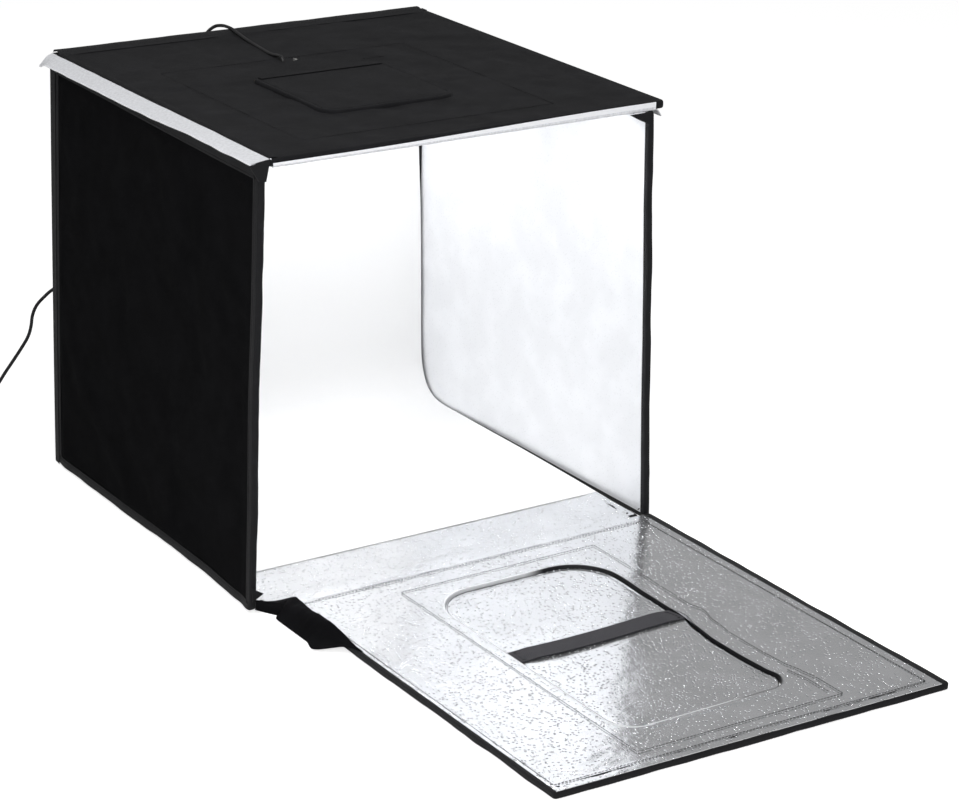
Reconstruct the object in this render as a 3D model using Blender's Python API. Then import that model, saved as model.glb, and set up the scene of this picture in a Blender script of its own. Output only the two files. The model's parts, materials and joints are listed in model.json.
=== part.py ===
"""A folding light tent cube of fabric-covered boards, with its door laid open in front of it.

The origin is the middle of the cube's underside. +X is to the right, +Y to the back and +Z up.
Six panels make the cube: bottom, back, two walls, lid and door. Each is an outer cover, a stiff
board, a silver lining and a sewn binding round the edge. Lid and door each have a window flap.
Two light bars hang under the lid, and their lead runs over the rear edge down to the floor.
"""

import math

import bmesh
import bpy
from mathutils import Vector

# Cube and door
CUBE_WIDTH = 0.500
CUBE_DEPTH = 0.500
CUBE_HEIGHT = 0.500
DOOR_SIDE_SETBACK = 0.014
DOOR_OVERHANG = 0.0065
DOOR_SHIFT = 0.014
LID_SETBACK = 0.0025
WALL_LIFT = 0.001

# Clearances
GAP = 0.0003
JOINT_GAP = 0.0005
OVERRUN = 0.004

# Panel make-up, from the outer face to the inner face
BINDING_THICKNESS = 0.0008
BINDING_LIP = 0.012
BINDING_ROUND = 0.0016
COVER_THICKNESS = 0.0016
COVER_SOFT_EDGE = 0.003
BOARD_THICKNESS = 0.003
LINING_THICKNESS = 0.0008
PANEL_THICKNESS = (
    2 * BINDING_THICKNESS + COVER_THICKNESS + BOARD_THICKNESS + LINING_THICKNESS + 4 * GAP
)

# Door window and its flap
DOOR_WINDOW_WIDTH = 0.219
DOOR_WINDOW_SHIFT = 0.0115
DOOR_WINDOW_BACK = 0.070
DOOR_WINDOW_FRONT = 0.0745
DOOR_WINDOW_RADIUS = 0.055
DOOR_WINDOW_FRONT_RADIUS = 0.030
FACING_THICKNESS = 0.0008
DOOR_FLAP_CLEARANCE = 0.002
DOOR_FLAP_LIFT = 0.0006
FLAP_COVER_THICKNESS = 0.0008
DOOR_FLAP_BOARD_THICKNESS = 0.002
FLAP_LINING_THICKNESS = 0.0006
STRAP_WIDTH = 0.0255
STRAP_THICKNESS = 0.0012
STRAP_FROM_WINDOW_BACK = 0.161
STRAP_BOW = 0.012

# Lid window and its flap
LID_FLAP_WIDTH = 0.171
LID_FLAP_LENGTH = 0.159
LID_FLAP_X = -0.0285
LID_FLAP_HINGE_Y = 0.027
LID_FLAP_RADIUS = 0.024
LID_FLAP_EDGE_ROUND = 0.0008
LID_FLAP_BOARD_THICKNESS = 0.0022
LID_WINDOW_INSET = 0.014
LID_WINDOW_RADIUS = 0.018

# Closure tapes and hinge strips
TAPE_WIDTH = 0.024
TAPE_THICKNESS = 0.0012
TAPE_DROP = 0.0052
TAPE_END_CUT = 0.012
TAPE_TOP_INSET = 0.0006
FRONT_TAPE_RISE = 0.0038
FRONT_TAPE_SIDE_GAP = 0.005
STRIP_THICKNESS = 0.0008
STRIP_LEG = 0.014
FLAP_STRIP_LEG = 0.007

# Door side gusset
GUSSET_LENGTH = 0.150
GUSSET_THICKNESS = 0.0014
GUSSET_HEIGHT = 0.0105
GUSSET_SPREAD = 0.026
GUSSET_SEAM = 0.008
GUSSET_CLEARANCE = 0.0026
GUSSET_FOLD = 0.003
GUSSET_ROOT = 0.002
GUSSET_NECK_SHARE = 0.12
GUSSET_FULL_SHARE = 0.58
GUSSET_SLOPE_SHARE = 0.7
GUSSET_HUMP_LEAN = 0.8
GUSSET_HUMP_POWER = 1.2
GUSSET_FOLD_WAVES = 1.5
GUSSET_FOLD_DRIFT = 6

# Backdrop sheet and its hook strip
BACKDROP_THICKNESS = 0.001
BACKDROP_SIDE_GAP_LEFT = 0.003
BACKDROP_SIDE_GAP_RIGHT = 0.0025
BACKDROP_BACK_GAP = 0.0024
BACKDROP_TOP_GAP = 0.012
BACKDROP_FRONT_GAP = 0.080
BACKDROP_SWEEP = 0.055
BACKDROP_LEAN = 0.024
HOOK_STRIP_INSET = 0.020
HOOK_STRIP_HEIGHT = 0.025

# Light bars
BAR_END_SETBACK = 0.040
BAR_WIDTH = 0.020
BAR_HEIGHT = 0.009
BAR_WALL = 0.0012
BAR_FROM_FRONT = 0.0575
BAR_BEHIND_EYELET = 0.035
BAR_PAD_THICKNESS = 0.0018
BAR_PAD_INSET = 0.015
BAR_STRIP_INSET = 0.004
STRIP_BOARD_WIDTH = 0.012
STRIP_BOARD_THICKNESS = 0.0012
CHIP_LENGTH = 0.005
CHIP_WIDTH = 0.005
CHIP_HEIGHT = 0.0014
CHIP_ROOT = 0.0005
CHIP_COUNT = 24
LINK_LEAD_RADIUS = 0.0013
LINK_LEAD_INSET = 0.020

# Eyelets, power lead and adapter
EYELET_X = -0.039
EYELET_Y = 0.090
SECOND_EYELET_STEP_X = 0.017
SECOND_EYELET_STEP_Y = 0.007
EYELET_BORE = 0.0028
EYELET_WALL = 0.0007
EYELET_FLANGE = 0.0052
EYELET_FLANGE_THICKNESS = 0.0006
CORD_RADIUS = 0.002
COIL_X = -0.430
COIL_Y = 0.300
COIL_RADIUS = 0.031
COIL_PITCH = 0.0046
COIL_LAYER_STEP = 0.0046
COIL_TURNS_A_LAYER = 3.25
COIL_POINTS_A_TURN = 24
COIL_CLIMB_TURNS = 0.5
TAIL_LENGTH = 0.020
TAIL_SHARES = (0.25, 0.5, 0.75, 1)
RELIEF_LENGTH = 0.014
RELIEF_RADIUS = 0.0042
RELIEF_TIP_RADIUS = 0.0029
ADAPTER_LENGTH = 0.062
ADAPTER_WIDTH = 0.036
ADAPTER_HEIGHT = 0.027
ADAPTER_ROUND = 0.004
PIN_LENGTH = 0.016
PIN_WIDTH = 0.0062
PIN_THICKNESS = 0.0015
PIN_SPACING = 0.0127
CORNER_STEPS = 6
ROUND_STEPS = 20
SHARP_ANGLE = 35

# Places that follow from the sizes above
LEFT = -CUBE_WIDTH / 2
RIGHT = CUBE_WIDTH / 2
FRONT = -CUBE_DEPTH / 2
BACK = CUBE_DEPTH / 2
DOOR_WIDTH = CUBE_WIDTH - DOOR_SIDE_SETBACK
DOOR_LENGTH = CUBE_HEIGHT + DOOR_OVERHANG
DOOR_WINDOW_LENGTH = DOOR_LENGTH - DOOR_WINDOW_BACK - DOOR_WINDOW_FRONT
LID_UNDERSIDE = CUBE_HEIGHT - PANEL_THICKNESS
WALL_TOP = LID_UNDERSIDE - JOINT_GAP
WALL_REAR = BACK - PANEL_THICKNESS - JOINT_GAP
WALL_FRONT = FRONT + JOINT_GAP
LID_FRONT = FRONT + LID_SETBACK
BAR_FRONT_Y = LID_FRONT + BAR_FROM_FRONT
BAR_REAR_Y = EYELET_Y + BAR_BEHIND_EYELET
BAR_LENGTH = CUBE_WIDTH - 2 * BAR_END_SETBACK
LINK_LEAD_X = BAR_LENGTH / 2 - LINK_LEAD_INSET
COVER_BASE = BINDING_THICKNESS + GAP
BOARD_BASE = COVER_BASE + COVER_THICKNESS + GAP
LINING_BASE = BOARD_BASE + BOARD_THICKNESS + GAP
LINING_TOP = LINING_BASE + LINING_THICKNESS
LID_CEILING = CUBE_HEIGHT - LINING_TOP

# The power lead's route, chosen by hand: over the lid, then over the edge and down to the floor
LID_LEAD_ROUTE = [
    (-0.0390, 0.1147, 0.4860),
    (-0.0390, 0.1090, 0.4855),
    (-0.0390, 0.1020, 0.4848),
    (-0.0390, 0.0960, 0.4860),
    (-0.0390, 0.0917, 0.4893),
    (-0.0390, 0.0900, 0.4940),
    (-0.0390, 0.0900, 0.4990),
    (-0.0389, 0.0912, 0.5030),
    (-0.0385, 0.0955, 0.5056),
    (-0.0378, 0.1040, 0.5053),
    (-0.0366, 0.1160, 0.5033),
    (-0.0348, 0.1330, 0.5024),
    (-0.0322, 0.1530, 0.5023),
    (-0.0294, 0.1760, 0.5024),
    (-0.0266, 0.2000, 0.5030),
    (-0.0244, 0.2190, 0.5043),
    (-0.0231, 0.2310, 0.5052),
]
DROP_LEAD_ROUTE = [
    (-0.0230, 0.2313, 0.5052),
    (-0.0223, 0.2390, 0.5058),
    (-0.0226, 0.2480, 0.5062),
    (-0.0250, 0.2570, 0.5062),
    (-0.0305, 0.2640, 0.5046),
    (-0.0380, 0.2672, 0.4990),
    (-0.0445, 0.2680, 0.4900),
    (-0.0500, 0.2680, 0.4780),
    (-0.0560, 0.2678, 0.4620),
    (-0.0640, 0.2675, 0.4450),
    (-0.0750, 0.2670, 0.4230),
    (-0.0880, 0.2665, 0.3950),
    (-0.1030, 0.2660, 0.3500),
    (-0.1230, 0.2655, 0.3050),
    (-0.1480, 0.2650, 0.2680),
    (-0.1780, 0.2650, 0.2420),
    (-0.2130, 0.2650, 0.2250),
    (-0.2470, 0.2650, 0.2120),
    (-0.2623, 0.2650, 0.2023),
    (-0.2715, 0.2650, 0.1935),
    (-0.2766, 0.2650, 0.1825),
    (-0.2787, 0.2650, 0.1700),
    (-0.2830, 0.2650, 0.1575),
    (-0.2924, 0.2650, 0.1440),
    (-0.3044, 0.2650, 0.1290),
    (-0.3165, 0.2650, 0.1140),
    (-0.3290, 0.2650, 0.0960),
    (-0.3410, 0.2650, 0.0730),
    (-0.3510, 0.2650, 0.0470),
    (-0.3600, 0.2653, 0.0240),
    (-0.3700, 0.2660, 0.0090),
    (-0.3820, 0.2675, 0.0030),
    (-0.3945, 0.2684, 0.0023),
    (-0.4070, 0.2690, 0.0023),
    (-0.4165, 0.2690, 0.0023),
    (-0.4253, 0.2690, 0.0023),
]
LID_LEAD_STEPS = 3
DROP_LEAD_STEPS = 2

# Colours
BLACK_CLOTH = (0.012, 0.012, 0.014)
LID_CLOTH = (0.017, 0.017, 0.020)
BLACK_BINDING = (0.010, 0.010, 0.012)
STRAP_BLACK = (0.030, 0.029, 0.035)
BOARD_BROWN = (0.33, 0.23, 0.14)
SILVER = (0.55, 0.56, 0.58)
BACKDROP_WHITE = (0.86, 0.86, 0.86)
TAPE_GREY = (0.66, 0.67, 0.70)
ALUMINIUM = (0.62, 0.63, 0.64)
STRIP_WHITE = (0.80, 0.80, 0.78)
NICKEL = (0.66, 0.65, 0.62)
LEAD_BLACK = (0.013, 0.013, 0.014)
ADAPTER_BLACK = (0.018, 0.018, 0.019)
BRASS = (0.70, 0.55, 0.28)


def clear_scene():
    for thing in list(bpy.data.objects):
        bpy.data.objects.remove(thing, do_unlink=True)


def material(name, colour, roughness, metallic=0.0):
    made = bpy.data.materials.new(name)
    made.use_nodes = True
    shader = made.node_tree.nodes["Principled BSDF"]
    shader.inputs["Base Color"].default_value = (*colour, 1.0)
    shader.inputs["Roughness"].default_value = roughness
    shader.inputs["Metallic"].default_value = metallic
    made.diffuse_color = (*colour, 1.0)
    return made


def pivot(name, place):
    """An empty on a joint's axis, which the moving pieces are parented to."""
    empty = bpy.data.objects.new(name, None)
    empty.location = place
    bpy.context.collection.objects.link(empty)
    return empty


def loft(rings, wrap=False):
    """A closed shape through rings of points: its ends are capped, or joined when it wraps."""
    count = len(rings[0])
    points = [tuple(point) for ring in rings for point in ring]
    faces = []
    spans = len(rings) if wrap else len(rings) - 1
    for ring in range(spans):
        after = (ring + 1) % len(rings)
        for index in range(count):
            beside = (index + 1) % count
            faces.append(
                (
                    ring * count + index,
                    ring * count + beside,
                    after * count + beside,
                    after * count + index,
                )
            )
    if not wrap:
        faces.append(tuple(range(count)))
        faces.append(tuple((len(rings) - 1) * count + index for index in range(count)))
    return points, faces


def add_solid(name, finish, shapes, carrier=None, smooth=False):
    """One named object from one or more closed shapes, each with its faces pointing out."""
    origin = carrier.location if carrier else Vector((0, 0, 0))
    form = bmesh.new()
    for points, faces in shapes:
        corners = [form.verts.new(Vector(point) - origin) for point in points]
        made = [form.faces.new([corners[index] for index in face]) for face in faces]
        bmesh.ops.recalc_face_normals(form, faces=made)
    mesh = bpy.data.meshes.new(name)
    form.to_mesh(mesh)
    form.free()
    if smooth:
        mesh.shade_smooth()
        mesh.set_sharp_from_angle(angle=math.radians(SHARP_ANGLE))
    mesh.materials.append(finish)
    thing = bpy.data.objects.new(name, mesh)
    bpy.context.collection.objects.link(thing)
    if carrier:
        thing.parent = carrier
    return thing


def cut(thing, cutter):
    hole = thing.modifiers.new("Cut", "BOOLEAN")
    hole.operation = "DIFFERENCE"
    hole.solver = "EXACT"
    hole.object = cutter


def join(thing, other):
    union = thing.modifiers.new("Join", "BOOLEAN")
    union.operation = "UNION"
    union.solver = "EXACT"
    union.object = other


def add_cutter(name, shapes):
    cutter = add_solid(name, MATERIALS["board"], shapes)
    cutter.hide_render = True
    cutter.display_type = "WIRE"
    return cutter


def box(low, high):
    corners = [(low[0], low[1]), (high[0], low[1]), (high[0], high[1]), (low[0], high[1])]
    return loft([[(x, y, z) for x, y in corners] for z in (low[2], high[2])])


def rectangle(low, high, inset=0.0):
    return [
        (low[0] + inset, low[1] + inset),
        (high[0] - inset, low[1] + inset),
        (high[0] - inset, high[1] - inset),
        (low[0] + inset, high[1] - inset),
    ]


def rounded(low, high, front_radius, back_radius):
    """A rectangle's outline with one radius at its low side and one at its high side."""
    outline = []
    corners = [
        (low[0] + front_radius, low[1] + front_radius, front_radius, 180),
        (high[0] - front_radius, low[1] + front_radius, front_radius, 270),
        (high[0] - back_radius, high[1] - back_radius, back_radius, 0),
        (low[0] + back_radius, high[1] - back_radius, back_radius, 90),
    ]
    for x, y, radius, start in corners:
        steps = CORNER_STEPS if radius > 0 else 0
        for step in range(steps + 1):
            angle = math.radians(start + (90 * step / steps if steps else 0))
            outline.append((x + radius * math.cos(angle), y + radius * math.sin(angle)))
    return outline


def circle(x, y, radius, steps=ROUND_STEPS):
    turns = [2 * math.pi * step / steps for step in range(steps)]
    return [(x + radius * math.cos(turn), y + radius * math.sin(turn)) for turn in turns]


def level(outline, height):
    return [(x, y, height) for x, y in outline]


def prism(outline, low, high):
    return loft([level(outline, low), level(outline, high)])


def along_x(profile, low, high):
    """A profile of (y, z) points drawn out along X."""
    return loft([[(x, y, z) for y, z in profile] for x in (low, high)])


class Panel:
    """A panel's plane: u and v run along it, n from its outer face to its inner face."""

    def __init__(self, name, low, high, place, cover, carrier=None):
        self.name = name
        self.low = low
        self.high = high
        self.place = place
        self.cover = cover
        self.carrier = carrier

    def rings(self, profile):
        rings = []
        for inset, depth in profile:
            outline = rectangle(self.low, self.high, inset)
            rings.append([self.place(u, v, depth) for u, v in outline])
        return rings

    def add(self, piece, finish, profile, wrap=False):
        name = self.name + "_" + piece
        shape = loft(self.rings(profile), wrap)
        return add_solid(name, MATERIALS[finish], [shape], self.carrier)

    def build(self):
        """The four layers of the panel, each 0.3 mm from the next."""
        lip = BINDING_LIP
        wall = BINDING_THICKNESS
        turn = BINDING_ROUND
        thick = PANEL_THICKNESS
        binding = [
            (turn, 0),
            (lip, 0),
            (lip, wall),
            (turn, wall),
            (wall, turn),
            (wall, thick - turn),
            (turn, thick - wall),
            (lip, thick - wall),
            (lip, thick),
            (turn, thick),
            (0, thick - turn),
            (0, turn),
        ]
        cover = [
            (lip + GAP + COVER_SOFT_EDGE, 0),
            (lip + GAP, wall),
            (lip + GAP, COVER_BASE),
            (turn + GAP, COVER_BASE),
            (turn + GAP, COVER_BASE + COVER_THICKNESS),
        ]
        edge = turn + GAP
        board = [(edge, BOARD_BASE), (edge, BOARD_BASE + BOARD_THICKNESS)]
        lining = [(edge, LINING_BASE), (edge, LINING_TOP)]
        return {
            "cover": self.add("cover", self.cover, cover),
            "board": self.add("board", "board", board),
            "lining": self.add("lining", "silver", lining),
            "binding": self.add("binding", "binding", binding, wrap=True),
        }


def panel_between(name, axis_place, low, high, cover, carrier=None):
    return Panel(name, low, high, axis_place, cover, carrier).build()


def build_bottom_and_back():
    inner = PANEL_THICKNESS + JOINT_GAP
    panel_between(
        "bottom",
        lambda u, v, n: (u, v, n),
        (LEFT + inner, WALL_FRONT),
        (RIGHT - inner, WALL_REAR),
        "cloth",
    )
    panel_between(
        "back", lambda u, v, n: (u, BACK - n, v), (LEFT, 0), (RIGHT, WALL_TOP), "cloth"
    )


def build_walls(left_pivot, right_pivot):
    low = (WALL_FRONT, WALL_LIFT)
    high = (WALL_REAR, WALL_TOP)
    panel_between("left_wall", lambda u, v, n: (LEFT + n, u, v), low, high, "cloth", left_pivot)
    panel_between("right_wall", lambda u, v, n: (RIGHT - n, u, v), low, high, "cloth", right_pivot)


def lid_flap_box():
    low = (LID_FLAP_X - LID_FLAP_WIDTH / 2, LID_FLAP_HINGE_Y - LID_FLAP_LENGTH)
    high = (LID_FLAP_X + LID_FLAP_WIDTH / 2, LID_FLAP_HINGE_Y)
    return low, high


def lid_window_outline(inset=0.0):
    low, high = lid_flap_box()
    grow = LID_WINDOW_INSET + inset
    radius = LID_WINDOW_RADIUS - inset
    return rounded(
        (low[0] + grow, low[1] + grow), (high[0] - grow, high[1] - grow), radius, radius
    )


def sleeve(outer, inner, low, high):
    """A thin wall between two outlines, open at both ends."""
    rings = [level(outer, low), level(outer, high), level(inner, high), level(inner, low)]
    return loft(rings, wrap=True)


def eyelet_places():
    return [
        (EYELET_X, EYELET_Y),
        (EYELET_X + SECOND_EYELET_STEP_X, EYELET_Y + SECOND_EYELET_STEP_Y),
    ]


def build_lid(carrier):
    layers = panel_between(
        "lid",
        lambda u, v, n: (u, v, CUBE_HEIGHT - n),
        (LEFT, LID_FRONT),
        (RIGHT, BACK),
        "lid_cloth",
        carrier,
    )
    window = add_cutter(
        "lid_window_cutter",
        [prism(lid_window_outline(), LID_UNDERSIDE - OVERRUN, CUBE_HEIGHT + OVERRUN)],
    )
    hole = EYELET_BORE + EYELET_WALL + GAP
    drill = add_cutter(
        "eyelet_cutter",
        [
            prism(circle(x, y, hole), LID_UNDERSIDE - OVERRUN, CUBE_HEIGHT + OVERRUN)
            for x, y in eyelet_places()
        ],
    )
    for layer in ("cover", "board", "lining"):
        cut(layers[layer], window)
        cut(layers[layer], drill)
    facing = sleeve(
        lid_window_outline(GAP),
        lid_window_outline(GAP + FACING_THICKNESS),
        LID_CEILING,
        CUBE_HEIGHT,
    )
    add_solid("lid_window_facing", MATERIALS["binding"], [facing], carrier)
    for name, (x, y) in zip(("lid_lead_eyelet", "lid_spare_eyelet"), eyelet_places()):
        bore = EYELET_BORE
        barrel = EYELET_BORE + EYELET_WALL
        top = CUBE_HEIGHT + GAP
        under = LID_CEILING - GAP
        profile = [
            (bore, under - EYELET_FLANGE_THICKNESS),
            (EYELET_FLANGE, under - EYELET_FLANGE_THICKNESS),
            (EYELET_FLANGE, under),
            (barrel, under),
            (barrel, top),
            (EYELET_FLANGE, top),
            (EYELET_FLANGE, top + EYELET_FLANGE_THICKNESS),
            (bore, top + EYELET_FLANGE_THICKNESS),
        ]
        rings = [level(circle(x, y, radius), height) for radius, height in profile]
        add_solid(name, MATERIALS["nickel"], [loft(rings, wrap=True)], carrier, smooth=True)


def flap_shell(low, high, front_radius, wall, base, top, edge_round, open_up):
    """A flap's cloth cover: a shallow tray, open on the side where its lining lies."""

    def ring(inset, height):
        corner = max(front_radius - inset, 0)
        outline = rounded(
            (low[0] + inset, low[1] + inset), (high[0] - inset, high[1] - inset), corner, 0
        )
        return level(outline, height)

    closed, mouth = (base, top) if open_up else (top, base)
    side = 1 if open_up else -1
    return loft(
        [
            ring(edge_round, closed),
            ring(0, closed + side * edge_round),
            ring(0, mouth),
            ring(wall, mouth),
            ring(wall, closed + side * wall),
        ]
    )


def build_lid_flap(carrier):
    low, high = lid_flap_box()
    base = CUBE_HEIGHT + GAP
    lining_top = base + FLAP_LINING_THICKNESS
    board_base = lining_top + GAP
    board_top = board_base + LID_FLAP_BOARD_THICKNESS
    top = board_top + GAP + FLAP_COVER_THICKNESS
    wall = FLAP_COVER_THICKNESS
    shell = flap_shell(low, high, LID_FLAP_RADIUS, wall, base, top, LID_FLAP_EDGE_ROUND, False)
    add_solid("lid_flap_cover", MATERIALS["lid_cloth"], [shell], carrier)
    edge = wall + GAP
    inner = rounded(
        (low[0] + edge, low[1] + edge),
        (high[0] - edge, high[1] - edge),
        LID_FLAP_RADIUS - edge,
        0,
    )
    add_solid("lid_flap_board", MATERIALS["board"], [prism(inner, board_base, board_top)], carrier)
    add_solid("lid_flap_lining", MATERIALS["silver"], [prism(inner, base, lining_top)], carrier)


def lid_flap_top():
    layers = FLAP_LINING_THICKNESS + LID_FLAP_BOARD_THICKNESS + FLAP_COVER_THICKNESS
    return CUBE_HEIGHT + layers + 3 * GAP


def build_lid_flap_strip(carrier):
    """The cloth hinge of the lid's flap: on the flap, down its rear edge and on the lid."""
    low, high = lid_flap_box()
    top = lid_flap_top() + GAP
    floor = CUBE_HEIGHT + GAP
    thick = STRIP_THICKNESS
    rear = high[1] + GAP
    profile = [
        (high[1] - FLAP_STRIP_LEG, top),
        (rear, top),
        (rear, floor),
        (rear + FLAP_STRIP_LEG, floor),
        (rear + FLAP_STRIP_LEG, floor + thick),
        (rear + thick, floor + thick),
        (rear + thick, top + thick),
        (high[1] - FLAP_STRIP_LEG, top + thick),
    ]
    shape = along_x(profile, low[0] + FLAP_STRIP_LEG, high[0] - FLAP_STRIP_LEG)
    add_solid("lid_flap_hinge_strip", MATERIALS["lid_cloth"], [shape], carrier)


def build_closure_tapes(carrier):
    """Hook-and-loop tapes on the lid's three free edges: two stand out, one folds under."""
    top = CUBE_HEIGHT - TAPE_TOP_INSET
    for name, side in (("lid_left_tape", -1), ("lid_right_tape", 1)):
        inner = side * (CUBE_WIDTH / 2 + GAP)
        outer = inner + side * TAPE_WIDTH
        ends_inner = (LID_FRONT, BACK)
        ends_outer = (LID_FRONT + TAPE_END_CUT, BACK - TAPE_END_CUT / 2)
        rings = []
        for end_in, end_out in zip(ends_inner, ends_outer):
            rings.append(
                [
                    (inner, end_in, top),
                    (outer, end_out, top - TAPE_DROP),
                    (outer, end_out, top - TAPE_DROP - TAPE_THICKNESS),
                    (inner, end_in, top - TAPE_THICKNESS),
                ]
            )
        add_solid(name, MATERIALS["tape"], [loft(rings)], carrier)
    face = LID_FRONT - GAP
    under = LID_UNDERSIDE - GAP
    thick = TAPE_THICKNESS
    leg = TAPE_WIDTH - FRONT_TAPE_RISE
    profile = [
        (face, LID_UNDERSIDE + FRONT_TAPE_RISE),
        (face, under),
        (face + leg, under),
        (face + leg, under - thick),
        (face - thick, under - thick),
        (face - thick, LID_UNDERSIDE + FRONT_TAPE_RISE),
    ]
    reach = CUBE_WIDTH / 2 - PANEL_THICKNESS - FRONT_TAPE_SIDE_GAP
    shape = along_x(profile, -reach, reach)
    add_solid("lid_front_tape", MATERIALS["tape"], [shape], carrier)


def build_hinge_strips():
    """Cloth strips over the sewn folds: lid to back, walls to back and door to bottom."""
    thick = STRIP_THICKNESS
    leg = STRIP_LEG
    out = GAP + STRIP_THICKNESS
    lid = [
        (BACK - leg, CUBE_HEIGHT + GAP),
        (BACK + GAP, CUBE_HEIGHT + GAP),
        (BACK + GAP, CUBE_HEIGHT - leg),
        (BACK + out, CUBE_HEIGHT - leg),
        (BACK + out, CUBE_HEIGHT + out),
        (BACK - leg, CUBE_HEIGHT + out),
    ]
    add_solid("lid_hinge_strip", MATERIALS["binding"], [along_x(lid, LEFT, RIGHT)])
    top = CUBE_HEIGHT - leg - JOINT_GAP
    for name, side in (("left_wall_hinge_strip", -1), ("right_wall_hinge_strip", 1)):
        edge = side * CUBE_WIDTH / 2
        outline = [
            (edge + side * GAP, BACK - leg),
            (edge + side * GAP, BACK + GAP),
            (edge - side * leg, BACK + GAP),
            (edge - side * leg, BACK + out),
            (edge + side * out, BACK + out),
            (edge + side * out, BACK - leg),
        ]
        add_solid(name, MATERIALS["binding"], [prism(outline, WALL_LIFT, top)])
    inner = PANEL_THICKNESS + JOINT_GAP
    seam = DOOR_SHIFT - DOOR_WIDTH / 2 + GUSSET_SEAM
    strip = box(
        (seam + JOINT_GAP, FRONT - leg, PANEL_THICKNESS + GAP),
        (RIGHT - inner - leg, FRONT + leg, PANEL_THICKNESS + GAP + thick),
    )
    add_solid("door_hinge_strip", MATERIALS["silver"], [strip])


def door_window_box(inset=0.0):
    middle = DOOR_WINDOW_SHIFT
    back = FRONT - DOOR_WINDOW_BACK
    half = DOOR_WINDOW_WIDTH / 2 - inset
    return (
        (middle - half, back - DOOR_WINDOW_LENGTH + inset),
        (middle + half, back - inset),
    )


def door_window_outline(inset=0.0):
    low, high = door_window_box(inset)
    return rounded(low, high, DOOR_WINDOW_FRONT_RADIUS - inset, DOOR_WINDOW_RADIUS - inset)


def build_door(carrier):
    half = DOOR_WIDTH / 2
    back = FRONT - JOINT_GAP
    layers = panel_between(
        "door",
        lambda u, v, n: (u, v, n),
        (DOOR_SHIFT - half, back - DOOR_LENGTH),
        (DOOR_SHIFT + half, back),
        "cloth",
        carrier,
    )
    window = add_cutter(
        "door_window_cutter", [prism(door_window_outline(), -OVERRUN, PANEL_THICKNESS + OVERRUN)]
    )
    for layer in ("cover", "board", "lining"):
        cut(layers[layer], window)
    facing = sleeve(
        door_window_outline(GAP), door_window_outline(GAP + FACING_THICKNESS), 0, LINING_TOP
    )
    add_solid("door_window_facing", MATERIALS["binding"], [facing], carrier)


def door_flap_heights():
    base = DOOR_FLAP_LIFT
    board = base + FLAP_COVER_THICKNESS + GAP
    lining = board + DOOR_FLAP_BOARD_THICKNESS + GAP
    top = lining + FLAP_LINING_THICKNESS
    return base, board, lining, top


def door_flap_rounded(inset):
    """The flap fits in the window with one clearance all round."""
    return door_window_outline(GAP + FACING_THICKNESS + DOOR_FLAP_CLEARANCE + inset)


def build_door_flap(carrier):
    base, board, lining, top = door_flap_heights()
    wall = FLAP_COVER_THICKNESS
    shell = loft(
        [
            level(door_flap_rounded(wall), base),
            level(door_flap_rounded(0), base + wall / 2),
            level(door_flap_rounded(0), top),
            level(door_flap_rounded(wall), top),
            level(door_flap_rounded(wall), base + wall),
        ]
    )
    add_solid("door_flap_cover", MATERIALS["cloth"], [shell], carrier)
    inner = door_flap_rounded(wall + GAP)
    add_solid(
        "door_flap_board",
        MATERIALS["board"],
        [prism(inner, board, board + DOOR_FLAP_BOARD_THICKNESS)],
        carrier,
    )
    add_solid("door_flap_lining", MATERIALS["silver"], [prism(inner, lining, top)], carrier)
    build_strap(carrier, top + GAP)


def build_door_flap_strip(carrier):
    """The cloth hinge of the door's flap: on the door's lining, down its facing, on the flap."""
    low, high = door_window_box()
    on_door = LINING_TOP + GAP
    on_flap = door_flap_heights()[3] + GAP
    thick = STRIP_THICKNESS
    bend = low[1] + FACING_THICKNESS + 2 * GAP
    flap_edge = low[1] + GAP + FACING_THICKNESS + DOOR_FLAP_CLEARANCE
    profile = [
        (low[1] - FLAP_STRIP_LEG, on_door),
        (bend, on_door),
        (bend, on_flap),
        (flap_edge + FLAP_STRIP_LEG, on_flap),
        (flap_edge + FLAP_STRIP_LEG, on_flap + thick),
        (bend + thick, on_flap + thick),
        (bend + thick, on_door + thick),
        (low[1] - FLAP_STRIP_LEG, on_door + thick),
    ]
    radius = DOOR_WINDOW_FRONT_RADIUS
    shape = along_x(profile, low[0] + radius, high[0] - radius)
    add_solid("door_flap_hinge_strip", MATERIALS["silver"], [shape], carrier)


def build_strap(carrier, base):
    """A webbing strap across the door's flap, a little bowed towards the hinge side."""
    edge = GAP + FACING_THICKNESS + 2 * DOOR_FLAP_CLEARANCE
    low, high = door_window_box(edge)
    middle = high[1] + edge - STRAP_FROM_WINDOW_BACK
    steps = 2 * CORNER_STEPS
    rings = []
    for step in range(steps + 1):
        share = step / steps
        x = low[0] + (high[0] - low[0]) * share
        bow = STRAP_BOW * math.sin(math.pi * share) * (1 - share)
        near = middle - STRAP_WIDTH / 2 + bow
        far = middle + STRAP_WIDTH / 2 + bow
        rings.append(
            [
                (x, near, base),
                (x, far, base),
                (x, far, base + STRAP_THICKNESS),
                (x, near, base + STRAP_THICKNESS),
            ]
        )
    add_solid("door_flap_strap", MATERIALS["strap"], [loft(rings)], carrier)


def ease(share):
    """A smooth step from 0 to 1."""
    share = min(max(share, 0), 1)
    return share * share * (3 - 2 * share)


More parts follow.
